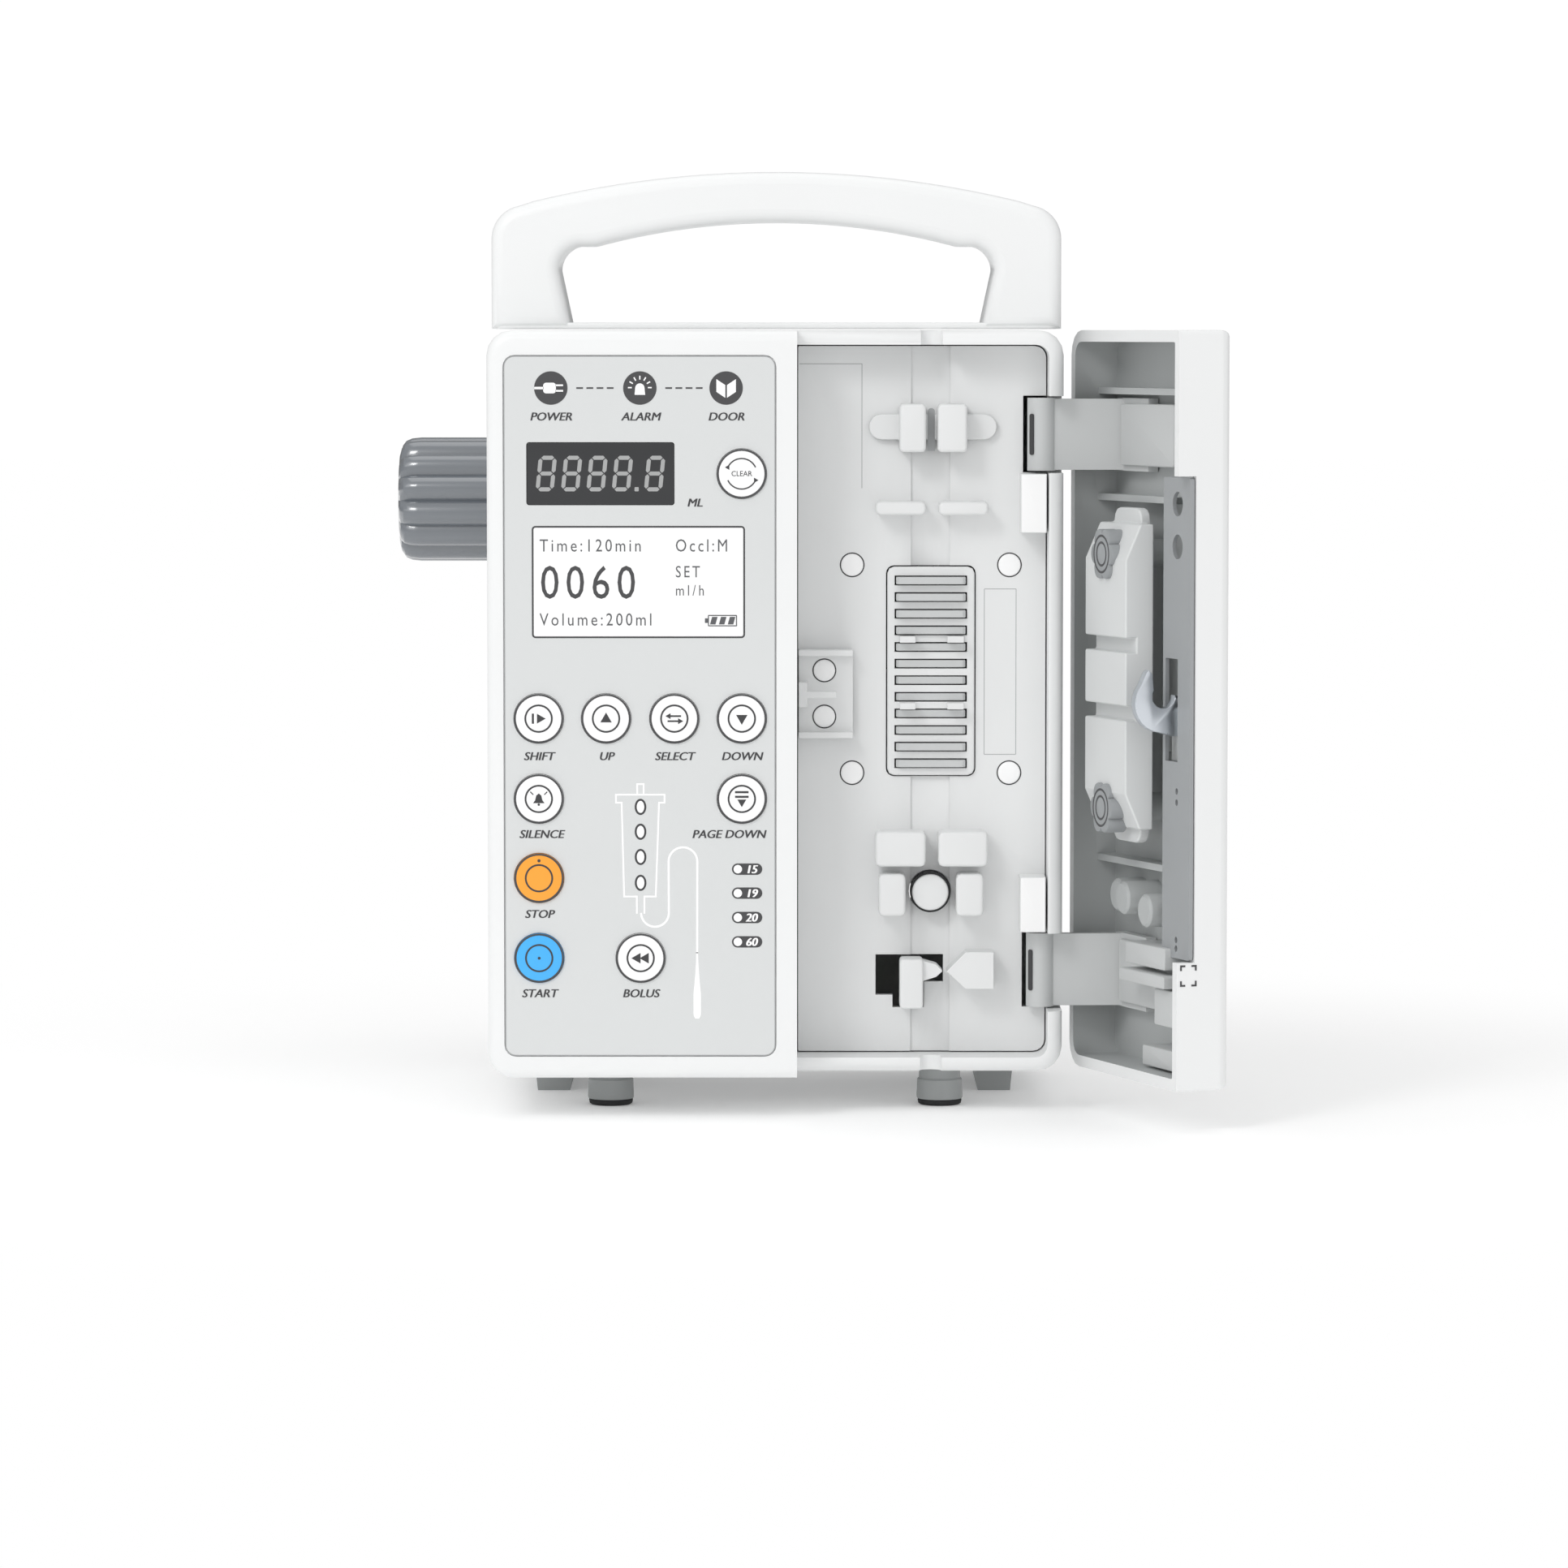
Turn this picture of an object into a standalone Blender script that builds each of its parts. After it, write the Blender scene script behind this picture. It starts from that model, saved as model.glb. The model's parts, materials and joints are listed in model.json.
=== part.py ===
"""Infusion pump: peristaltic pump body, swing-out door, keypad front, carry handle and pole clamp.

Sizes are millimetres. X runs to the pump's right, Y from its front to its back, Z up from the table.
"""

import math

import bmesh
import bpy
from mathutils import Vector

MM = 0.001
GAP = 0.3

# The body: half width, bottom and top, and its planes from front to back.
BODY_X = 68.5
BODY_LOW = 10.0
BODY_TOP = 187.5
BODY_RADIUS = 6.0
PANEL_Y = -14.0
RIM_Y = 0.0
FLOOR_Y = 12.0
SEAM_Y = 38.0
BACK_Y = 95.0
WALL = 2.6
RIM_WALL = 3.5
BAY_X = 4.9

# Where the whole object's box has its centre, which becomes the origin.
CENTRE_X = 4.2742
CENTRE_Y = 50.7315

# The door turns about a vertical axis and stands open by this much.
HINGE = (63.5, 9.5)
DOOR_OPEN = 110.7
DOOR_RIM_Y = -0.4

# The tube, the twelve fingers and the camshaft behind them.
TUBE_X = 37.0
FINGER_COUNT = 12
FINGER_PITCH = 4.0
FINGER_TOP = 127.5
FINGER_TALL = 1.75
SLOT_TALL = 2.35
FINGER_FRONT = 9.8
CAM_Y = 32.0
CAM_RADIUS = 6.0
CAM_THROW = 1.0
PULLEY_Z = (143.0, 149.0)
MOTOR_Y = 69.5

# Overlay and windows on the panel: left, right, low, high.
OVERLAY = (-64.3, -0.3, 15.6, 181.35)
LED_WINDOW = (-59.3, -23.8, 145.97, 161.35)
LCD_WINDOW = (-58.0, -7.2, 114.6, 141.55)
KEY_RADIUS = 5.86
KEY_SIDES = 16
KEYS = {
    "key_clear": (-8.19, 153.66),
    "key_shift": (-56.26, 95.79),
    "key_up": (-40.3, 95.79),
    "key_select": (-24.15, 95.79),
    "key_down": (-8.19, 95.79),
    "key_silence": (-56.26, 76.75),
    "key_page_down": (-8.19, 76.75),
    "key_stop": (-56.26, 57.91),
    "key_start": (-56.26, 38.88),
    "key_bolus": (-32.2, 38.88),
}

# Hinge arms, low and high, and the latch's pivot in the closed door.
ARMS = {"hinge_arm_upper": (153.9, 171.3), "hinge_arm_lower": (25.05, 42.8)}
LATCH = (-9.0, 94.0)

# The pole clamp on the back.
CLAMP_Y = 125.0
CLAMP_Z = 144.0
KNOB_RADIUS = 16.0
KNOB_LEFT = -97.0
KNOB_RIGHT = -68.9
PAD_LEFT = -14.0
SCREW_BORE = 4.3
SCREW_DEPTH = 10.0
BUSH_RADIUS = 8.0

COLOURS = {
    "casing": ("F2F3F3", 0.42, 0.0),
    "bay": ("DEDFDF", 0.45, 0.0),
    "overlay": ("DFE0E0", 0.35, 0.0),
    "dark_window": ("454647", 0.2, 0.0),
    "light_window": ("FCFCFC", 0.2, 0.0),
    "key_white": ("F8F8F8", 0.35, 0.0),
    "key_orange": ("FDA735", 0.35, 0.0),
    "key_blue": ("46B4F9", 0.35, 0.0),
    "grey_plastic": ("B5B7B8", 0.5, 0.0),
    "knob_grey": ("858B91", 0.5, 0.0),
    "rubber": ("3A3B3D", 0.8, 0.0),
    "steel": ("D5DAE0", 0.3, 1.0),
    "aluminium": ("C0C3C6", 0.4, 1.0),
    "board": ("2F6B45", 0.5, 0.0),
    "black_plastic": ("26282A", 0.5, 0.0),
}


def linear(channel):
    """One sRGB channel from 0 to 1 as linear light."""
    return channel / 12.92 if channel <= 0.04045 else ((channel + 0.055) / 1.055) ** 2.4


def make_materials():
    made = {}
    for name, (code, roughness, metallic) in COLOURS.items():
        material = bpy.data.materials.new(name)
        material.use_nodes = True
        shader = material.node_tree.nodes["Principled BSDF"]
        rgb = [linear(int(code[i : i + 2], 16) / 255) for i in (0, 2, 4)]
        shader.inputs["Base Color"].default_value = (*rgb, 1.0)
        shader.inputs["Roughness"].default_value = roughness
        shader.inputs["Metallic"].default_value = metallic
        made[name] = material
    return made


def at(axis, u, v, w):
    """A point from its place in an outline's plane and its height w along the axis."""
    if axis == "X":
        return (w, u, v)
    if axis == "Y":
        return (u, w, v)
    return (u, v, w)


def loft(rings):
    """A closed solid through rings of equally many points, capped at both ends."""
    bm = bmesh.new()
    loops = [[bm.verts.new(point) for point in ring] for ring in rings]
    for low, high in zip(loops, loops[1:]):
        for i, corner in enumerate(low):
            j = (i + 1) % len(low)
            bm.faces.new((corner, low[j], high[j], high[i]))
    bm.faces.new(loops[0])
    bm.faces.new(loops[-1])
    bmesh.ops.recalc_face_normals(bm, faces=bm.faces)
    return bm


def prism(axis, outline, w0, w1):
    """An outline of (u, v) points pushed along an axis."""
    return loft([[at(axis, u, v, w) for u, v in outline] for w in (w0, w1)])


def block(x0, x1, y0, y1, z0, z1):
    return prism("Z", [(x0, y0), (x1, y0), (x1, y1), (x0, y1)], z0, z1)


def rounded(u0, u1, v0, v1, radii, steps=4):
    """A rectangle whose corners are arcs, from its lowest left corner round, as (u, v) points."""
    if not isinstance(radii, tuple):
        radii = (radii,) * 4
    corners = ((u0, v0, 1, 1), (u1, v0, -1, 1), (u1, v1, -1, -1), (u0, v1, 1, -1))
    points = []
    for turn, ((u, v, in_u, in_v), radius) in enumerate(zip(corners, radii)):
        for step in range(steps + 1):
            angle = math.radians(180 + 90 * turn + 90 * step / steps)
            points.append((u + radius * (in_u + math.cos(angle)), v + radius * (in_v + math.sin(angle))))
    return points


def rolled(radius):
    """How far a rolled edge stands in from the end and from the side, from its end to its side."""
    if not radius:
        return [(0.0, 0.0)]
    turns = [math.radians(22.5 * step) for step in range(5)]
    return [(radius * (1 - math.cos(turn)), radius * (1 - math.sin(turn))) for turn in turns]


def slab(axis, sides, w0, w1, radii, low=0.0, high=0.0, steps=4):
    """A rounded rectangle pushed along an axis, with a rolled edge of radius low or high at either end."""
    u0, u1, v0, v1 = sides
    levels = [(w0 + w, inset) for w, inset in rolled(low)]
    levels += [(w1 - w, inset) for w, inset in reversed(rolled(high))]
    rings = []
    for w, inset in levels:
        shrunk = tuple(max(r - inset, 0.05) for r in (radii if isinstance(radii, tuple) else (radii,) * 4))
        outline = rounded(u0 + inset, u1 - inset, v0 + inset, v1 - inset, shrunk, steps)
        rings.append([at(axis, u, v, w) for u, v in outline])
    return loft(rings)


def turned(axis, u, v, profile, sides=20, turn=0.0):
    """A turned solid about a line along an axis, from its (height, radius) profile."""
    rings = []
    for w, radius in profile:
        angles = [2 * math.pi * (k + turn) / sides for k in range(sides)]
        rings.append([at(axis, u + radius * math.cos(a), v + radius * math.sin(a), w) for a in angles])
    return loft(rings)


def boolean(base, tools, operation):
    """A bmesh after a Boolean with each tool in turn."""
    helpers = []
    for number, bm in enumerate([base, *tools]):
        mesh = bpy.data.meshes.new("helper")
        bm.to_mesh(mesh)
        bm.free()
        helper = bpy.data.objects.new("helper", mesh)
        bpy.context.scene.collection.objects.link(helper)
        helpers.append(helper)
        if number:
            modifier = helpers[0].modifiers.new("Boolean", "BOOLEAN")
            modifier.operation = operation
            modifier.solver = "EXACT"
            modifier.object = helper
    graph = bpy.context.evaluated_depsgraph_get()
    result = bmesh.new()
    result.from_mesh(helpers[0].evaluated_get(graph).to_mesh())
    for helper in helpers:
        mesh = helper.data
        bpy.data.objects.remove(helper)
        bpy.data.meshes.remove(mesh)
    return result


def cut(base, *tools):
    return boolean(base, tools, "DIFFERENCE")


def fuse(base, *tools):
    return boolean(base, tools, "UNION")


def make_axis(name, place, parent=None, turn=0.0):
    """An empty on a joint's axis. Its place is in the same drawing as the solids that it carries."""
    empty = bpy.data.objects.new(name, None)
    empty.empty_display_size = 0.02
    bpy.context.scene.collection.objects.link(empty)
    empty.rotation_euler[2] = math.radians(turn)
    drawn = Vector(place)
    if parent:
        empty.parent = parent[0]
        empty.location = (drawn - parent[1]) * MM
    return empty, drawn


def make_node(name, bm, material, axis, smooth=None):
    """A named object from a solid in millimetres, on its axis. smooth is the sharpest angle shaded smooth."""
    empty, drawn = axis
    bmesh.ops.translate(bm, verts=bm.verts, vec=-drawn)
    bmesh.ops.scale(bm, verts=bm.verts, vec=(MM, MM, MM))
    mesh = bpy.data.meshes.new(name)
    bm.to_mesh(mesh)
    bm.free()
    mesh.materials.append(material)
    if smooth:
        mesh.shade_smooth()
        mesh.set_sharp_from_angle(angle=math.radians(smooth))
    node = bpy.data.objects.new(name, mesh)
    bpy.context.scene.collection.objects.link(node)
    node.parent = empty
    return node


def key_hole(x, z):
    """The cutter of a key's hole through the panel."""
    return turned("Y", x, z, [(-20, KEY_RADIUS + GAP), (-8, KEY_RADIUS + GAP)], KEY_SIDES)


def make_front_housing():
    """The front shell: the control tower on the left and the bay's rim on the right."""
    outer = (-BODY_X, BODY_X, BODY_LOW, BODY_TOP)
    tower = slab("Y", outer, PANEL_Y, SEAM_Y, BODY_RADIUS, low=2.5)
    tower = cut(tower, block(BAY_X, BODY_X + 9, -30, SEAM_Y + 5, 0, 200))
    rim = slab("Y", outer, RIM_Y, SEAM_Y, BODY_RADIUS, low=3.0)
    rim = cut(rim, block(-BODY_X - 9, -1, -5, SEAM_Y + 5, 0, 200))
    bay = (BAY_X, BODY_X - RIM_WALL, BODY_LOW + RIM_WALL, BODY_TOP - RIM_WALL)
    rim = cut(rim, slab("Y", bay, -5, SEAM_Y + 5, (0.05, 3, 3, 0.05)))
    shell = fuse(tower, rim)
    inside = (-BODY_X + WALL, BAY_X - WALL, BODY_LOW + WALL, BODY_TOP - WALL)
    shell = cut(shell, slab("Y", inside, PANEL_Y + WALL, SEAM_Y + 5, (3.4, 0.5, 0.5, 3.4)))
    shell = cut(shell, block(BAY_X - WALL - 1, BAY_X + 1, 17, SEAM_Y + 5, 16, 182))
    for low, high in ARMS.values():
        shell = cut(shell, block(60, BODY_X + 9, -5, 13.6, low - 0.5, high + 0.5))
    for low, high in ((0, BODY_LOW + RIM_WALL + 1), (BODY_TOP - RIM_WALL - 1, 200)):
        groove = turned("Z", TUBE_X, 3.4, [(low, 2.6), (high, 2.6)], 16)
        shell = cut(shell, fuse(groove, block(TUBE_X - 2.6, TUBE_X + 2.6, -5, 3.4, low - 1, high + 1)))
    left, right, low, high = OVERLAY
    shell = cut(shell, slab("Y", (left - GAP, right + GAP, low - GAP, high + GAP), -20, PANEL_Y + 0.6, 2.8))
    openings = [slab("Y", window, -20, -8, 0.8) for window in (LED_WINDOW, LCD_WINDOW)]
    openings += [key_hole(x, z) for x, z in KEYS.values()]
    shell = cut(shell, *openings)
    post = [(PANEL_Y + WALL - 0.8, 2.2), (-4.6, 2.2)]
    return fuse(shell, *[turned("Y", x, z, post, 10) for x in (-61, -3) for z in (22, 168)])


def make_rear_housing():
    """The rear shell, with the mains inlet's opening, vents and posts for the main board."""
    outer = (-BODY_X, BODY_X, BODY_LOW, BODY_TOP)
    shell = slab("Y", outer, SEAM_Y + GAP, BACK_Y, BODY_RADIUS, high=4.0)
    inside = (-BODY_X + WALL, BODY_X - WALL, BODY_LOW + WALL, BODY_TOP - WALL)
    shell = cut(shell, slab("Y", inside, SEAM_Y - 5, BACK_Y - WALL, 3.4))
    shell = cut(shell, block(-52.3, -23.7, 80, 100, 19.7, 40.3))
    vents = [slab("Y", (10 + 7 * k, 13 + 7 * k, 30, 62), 85, 100, 1.4, steps=2) for k in range(6)]
    shell = cut(shell, *vents)
    posts = [turned("Y", x, z, [(43.0, 2.4), (BACK_Y - 1, 2.4)], 10) for x in (-61, 10) for z in (24, 172)]
    return fuse(shell, *posts)


def make_bay_plate():
    """The bay's floor with the guides, ribs, hinge blocks and the fixed side of the flow clamp."""
    plate = slab("Y", (BAY_X + GAP, 64.7, 13.8, 183.7), FLOOR_Y, FLOOR_Y + 2.5, (0.4, 2.8, 2.8, 0.4))
    plate = cut(plate, block(32.3, 41.7, 5, FLOOR_Y + 0.7, 10, 190))
    raised = []
    for left, right in ((23.7, 35.8), (38.8, 50.7)):
        raised.append(slab("Y", (left, right, 143.3, 146.6), 4.6, FLOOR_Y + 1.5, 1.2, low=0.8, steps=2))
        raised.append(slab("Y", (left, right, 59.1, 67.5), 3.2, FLOOR_Y + 1.5, 1.2, low=0.8, steps=2))
    for left, right in ((24.5, 31.0), (43.1, 49.7)):
        raised.append(slab("Y", (left, right, 47.1, 57.3), 3.6, FLOOR_Y + 1.5, 1.2, low=0.8, steps=2))
    for low, high in ((139.2, 153.2), (43.5, 56.7)):
        raised.append(block(58.4, 64.5, 1.6, FLOOR_Y + 1.5, low, high))
    anvil = [(40.9, 33.9), (45.4, 29.7), (52.1, 29.7), (52.1, 38.5), (45.4, 38.5)]
    raised.append(prism("Y", anvil, 3.4, FLOOR_Y + 1.5))
    plate = fuse(plate, *raised)
    holes = [slab("Y", (26.35, 47.9, 80.3, 131.1), 5, 20, 1.9)]
    holes.append(turned("Y", TUBE_X, 52.6, [(5, 5.1), (20, 5.1)], 20))
    holes += [block(59.2, 70, 5, 20, low - 0.5, high + 0.5) for low, high in ARMS.values()]
    plate = cut(plate, *holes)
    jaw_slot = fuse(
        block(23.9, 29.0, 5, 20, 27.4, 37.2),
        block(28.0, 40.2, 5, 20, 30.6, 37.2),
        block(28.0, 35.6, 5, 20, 24.4, 31),
    )
    return cut(plate, jaw_slot)


def make_finger_window():
    """The slotted frame that the fingers come through, with its two tube clips."""
    frame = slab("Y", (26.65, 47.6, 80.6, 130.8), 10.8, 14.3, 1.6, low=0.5, steps=2)
    clips = []
    for z in (113.5, 97.5):
        clips.append(block(29.6, 33.3, 6.0, 11.5, z - 0.75, z + 0.75))
        clips.append(block(41.0, 44.9, 6.0, 11.5, z - 0.75, z + 0.75))
    frame = fuse(frame, *clips)
    slots = []
    for number in range(FINGER_COUNT):
        z = FINGER_TOP - number * FINGER_PITCH
        slots.append(block(28.4, 45.8, 5, 20, z - SLOT_TALL / 2, z + SLOT_TALL / 2))
    return cut(frame, *slots)


def finger_shift(number):
    """How far back from its middle a finger rests: the wave of the cams behind it."""
    return -CAM_THROW * math.cos(2 * math.pi * (number - 0.5) / FINGER_COUNT)


def make_finger(number):
    """One finger: a wide face with a rounded front and a narrow stem back to its cam."""
    y = FINGER_FRONT + finger_shift(number)
    z = FINGER_TOP - number * FINGER_PITCH
    left, right = 28.75, 45.45
    back = CAM_Y - CAM_RADIUS - CAM_THROW - 2 * GAP - (FINGER_FRONT + CAM_THROW - y)
    step, edge = 17.5, 0.7
    outline = [(left, y + edge), (left + edge, y), (right - edge, y), (right, y + edge), (right, step)]
    outline += [(TUBE_X + 4, step), (TUBE_X + 4, back), (TUBE_X - 4, back), (TUBE_X - 4, step), (left, step)]
    return prism("Z", outline, z - FINGER_TALL / 2, z + FINGER_TALL / 2)


def make_camshaft():
    """The shaft with twelve eccentric discs, 30 degrees apart, and the driven pulley on its top."""
    sides = 12
    stations = [(64.0, 0.0, 0.0, 2.5)]
    for number in reversed(range(FINGER_COUNT)):
        z = FINGER_TOP - number * FINGER_PITCH
        angle = 2 * math.pi * (number - 0.5) / FINGER_COUNT + math.pi / 2
        off_x = CAM_THROW * math.cos(angle)
        off_y = CAM_THROW * math.sin(angle)
        stations += [(z - 1.0, 0, 0, 2.5), (z - 1.0, off_x, off_y, CAM_RADIUS)]
        stations += [(z + 1.0, off_x, off_y, CAM_RADIUS), (z + 1.0, 0, 0, 2.5)]
    low, high = PULLEY_Z
    stations += [(low, 0, 0, 2.5), (low, 0, 0, 9.0), (high, 0, 0, 9.0), (high, 0, 0, 2.5)]
    stations.append((high + 1, 0, 0, 2.5))
    rings = []
    for z, x, y, radius in stations:
        ring = []
        for k in range(sides):
            angle = 2 * math.pi * k / sides
            ring.append((TUBE_X + x + radius * math.cos(angle), CAM_Y + y + radius * math.sin(angle), z))
        rings.append(ring)
    return loft(rings)


def make_pump_frame():
    """The frame behind the bay floor: shelves for the motor and, with bearing bosses, for the camshaft."""
    frame = fuse(
        block(18, 56, 14.8, 17.0, 66, 141.5),
        block(18, 56, 16, 90, 138.5, 141.5),
        block(18, 56, 16, 44, 66, 69),
        turned("Z", TUBE_X, CAM_Y, [(136.5, 7.7), (139, 7.7)], 20),
        turned("Z", TUBE_X, CAM_Y, [(68, 7.7), (71, 7.7)], 20),
    )
    frame = cut(frame, block(26, 48, 10, 16.5, 79, 132), block(26, 48, 16, 20, 79, 132))
    cam_bore = turned("Z", TUBE_X, CAM_Y, [(60, 2.9), (145, 2.9)], 16)
    motor_hole = turned("Z", TUBE_X, MOTOR_Y, [(130, 4.0), (150, 4.0)], 16)
    return cut(frame, cam_bore, motor_hole)


def loop_outline(near, far, steps=10):
    """The outline of a belt round two pulleys of these radii, as (x, y) points."""
    span = MOTOR_Y - CAM_Y
    lean = math.asin((near - far) / span)
    points = []
    for step in range(steps + 1):
        angle = math.pi - lean + (math.pi + 2 * lean) * step / steps
        points.append((TUBE_X + near * math.cos(angle), CAM_Y + near * math.sin(angle)))
    for step in range(steps + 1):
        angle = lean + (math.pi - 2 * lean) * step / steps
        points.append((TUBE_X + far * math.cos(angle), MOTOR_Y + far * math.sin(angle)))
    return points


def make_belt():
    low, high = PULLEY_Z
    outer = prism("Z", loop_outline(9.0 + GAP + 1.2, 6.0 + GAP + 1.2), low + 0.5, high - 0.5)
    return cut(outer, prism("Z", loop_outline(9.0 + GAP, 6.0 + GAP), low - 1, high + 1))


def make_handle():
    """The carry handle: a closed loop with an arched grip, legs and a thin base."""
    outer = [(-68, 187.8), (68, 187.8)]
    for step in range(5):
        angle = math.radians(80 * step / 4)
        outer.append((60 + 8 * math.cos(angle), 209.2 + 8 * math.sin(angle)))
    arc = 246.0
    for step in range(17):
        x = 58 - 116 * step / 16
        outer.append((x, 225.1 - arc + math.sqrt(arc * arc - x * x)))
    for step in range(5):
        angle = math.radians(100 + 80 * step / 4)
        outer.append((-60 + 8 * math.cos(angle), 209.2 + 8 * math.sin(angle)))
    inner = [(-49.3, 189.0), (49.3, 189.0)]
    for step in range(4):
        angle = math.radians(5 + 70 * step / 3)
        inner.append((46.5 + 5 * math.cos(angle), 200.8 + 5 * math.sin(angle)))
    arc = 240.0
    for step in range(13):
        x = 45 - 90 * step / 12
        inner.append((x, 213.5 - arc + math.sqrt(arc * arc - x * x) - abs(x / 45) ** 6 * 3.1))
    for step in range(4):
        angle = math.radians(105 + 70 * step / 3)
        inner.append((-46.5 + 5 * math.cos(angle), 200.8 + 5 * math.sin(angle)))
    loop = cut(prism("Y", outer, 4, 34), prism("Y", inner, 0, 40))
    edges = []
    for edge in loop.edges:
        first, second = (vert.co for vert in edge.verts)
        flat = abs(first.y - second.y) < 0.01 and (abs(first.y - 4) < 0.01 or abs(first.y - 34) < 0.01)
        walls = len({round(face.normal.y, 1) for face in edge.link_faces}) > 1
        above = min(first.z, second.z) > 187.9
        if flat and walls and above:
            edges.append(edge)
    bmesh.ops.bevel(loop, geom=edges, offset=0.9, segments=2, affect="EDGES", profile=0.5)
    return loop


def make_door_shell():
    """The door's moulded tray, drawn closed, with the ribs, posts and latch lugs inside it."""
    outer = (BAY_X + GAP, BODY_X, BODY_LOW, BODY_TOP)
    shell = slab("Y", outer, PANEL_Y, DOOR_RIM_Y, (1.0, BODY_RADIUS, BODY_RADIUS, 1.0), low=2.5)
    inside = (7.8, BODY_X - 2.3, BODY_LOW + 2.8, BODY_TOP - 2.8)
    shell = cut(shell, slab("Y", inside, PANEL_Y + WALL, 5, (0.5, 3.4, 3.4, 0.5)))
    shell = cut(shell, block(0, 8.5, -4.9, 5, 40.2, 153.6), block(15.2, 22.4, -20, -5, 82, 104))
    ledge = PANEL_Y + WALL - 0.8
    extra = [block(20, 66.5, ledge, -6.6, z - 0.8, z + 0.8) for z in (173.0, 147.5, 60.5)]
    extra.append(block(7, 30, ledge, -6.0, 35.5, 37.1))
    extra.append(block(24, 25.6, ledge, -6.6, 38, 58))
    for x, z, top in ((TUBE_X + 13, 52.6, -4.5), (TUBE_X + 4, 52.6, -2.0), (TUBE_X - 9, 50.6, -2.0)):
        extra.append(turned("Y", x, z, [(ledge, 4.0), (top - 0.6, 4.0), (top, 3.4)], 16))
    for z in (134.7, 74.6):
        extra.append(turned("Y", TUBE_X, z, [(ledge, 3.4), (-6.2, 3.4)], 14))
    extra.append(block(12.2, 15.0, ledge, -5.3, 88.5, 99.5))
    extra.append(block(22.7, 24.4, ledge, -5.3, 88.5, 99.5))
    for part in extra:
        shell = fuse(shell, part)
    return shell


def make_latch_plate():
    """The metal strip along the door's free edge, with the hook's slot and its fixing holes."""
    plate = slab("Y", (5.6, 21.0, 40.6, 153.2), -4.6, -3.6, 0.8, steps=2)
    holes = [turned("Y", 13.0, z, [(-8, 2.9), (0, 2.9)], 16) for z in (147.0, 137.0)]
    holes += [turned("Y", 13.0, z, [(-8, 0.8), (0, 0.8)], 8) for z in (79.8, 77.2, 44.9, 42.9)]
    holes.append(block(12.6, 19.6, -8, 0, 86.7, 110.8))
    return cut(plate, *holes)


def make_hinge_arm(low, high):
    """A door arm: knuckle on the hinge axis, leaf, and the foot on the door's inner face."""
    x, y = HINGE
    foot_x, foot_y = 57.0, PANEL_Y + WALL + GAP
    across = Vector((foot_x - x, foot_y + 1.2 - y)).normalized()
    side = Vector((-across.y, across.x)) * 1.5
    leaf = [(x + side.x, y + side.y), (x - side.x, y - side.y)]
    leaf += [(foot_x - side.x, foot_y + 1.2 - side.y), (foot_x + side.x, foot_y + 1.2 + side.y)]
    foot = block(41.0, foot_x + 2.0, foot_y, foot_y + 2.6, low, high)
    knuckle = turned("Z", x, y, [(low, 3.4), (high, 3.4)], 20)
    leaf = prism("Z", leaf, low + 0.2, high - 0.2)
    return fuse(knuckle, leaf, foot)


def make_platen():
    """The sprung pressure plate that backs the tube: a tab plate under a chamfered block with two notches."""
    outline = [(-3, 70), (-3, 142), (0.5, 142), (4.3, 133.5), (4.3, 78.5), (0.5, 70)]
    body = prism("X", outline, 25, 49)
    body = fuse(body, slab("Y", (29, 45, 66.4, 145.6), -4, -1.4, 3.0, steps=3))
    notches = [block(20, 55, 1.5, 8, z - 1.7, z + 1.7) for z in (113.5, 97.5)]
    return cut(body, *notches)


def make_hook():
    """The latch hook: a hub on the pivot and an upturned prong."""
    y, z = LATCH
    outline = []
    for step in range(9):
        angle = math.radians(-200 + 220 * step / 8)
        outline.append((y + 8.2 + 5.4 * math.cos(angle), z + 3.2 + 5.8 * math.sin(angle)))
    outline += [(y + 12.9, z + 12.6), (y + 10.8, z + 12.8), (y + 10.9, z + 5.6)]
    for step in range(6):
        angle = math.radians(-20 - 140 * step / 5)
        outline.append((y + 8.0 + 2.4 * math.cos(angle), z + 6.3 + 2.2 * math.sin(angle)))
    outline += [(y + 5.6, z + 9.6), (y + 4.6, z + 10.6), (y - 1.2, z + 4.2), (y - 3.4, z + 1.4)]
    outline += [(y - 3.4, z - 1.6), (y - 1.4, z - 3.4), (y + 1.6, z - 3.4)]
    return prism("X", outline, 15.3, 17.9)


def make_lever():
    """The latch lever on the door's outer face, with the boss that reaches the pivot through it."""
    y, z = LATCH
    plate = slab("Y", (11.8, 22.2, 57.0, 90.5), PANEL_Y - 2.1, PANEL_Y - 0.5, 2.0, low=0.6, steps=3)
    arm = block(18.3, 22.0, -18.0, y + 2.6, 86.6, 90.4)
    boss = block(18.3, 22.0, y - 3.0, y + 2.6, 86.6, z + 3.4)
    return fuse(plate, arm, boss)


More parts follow.
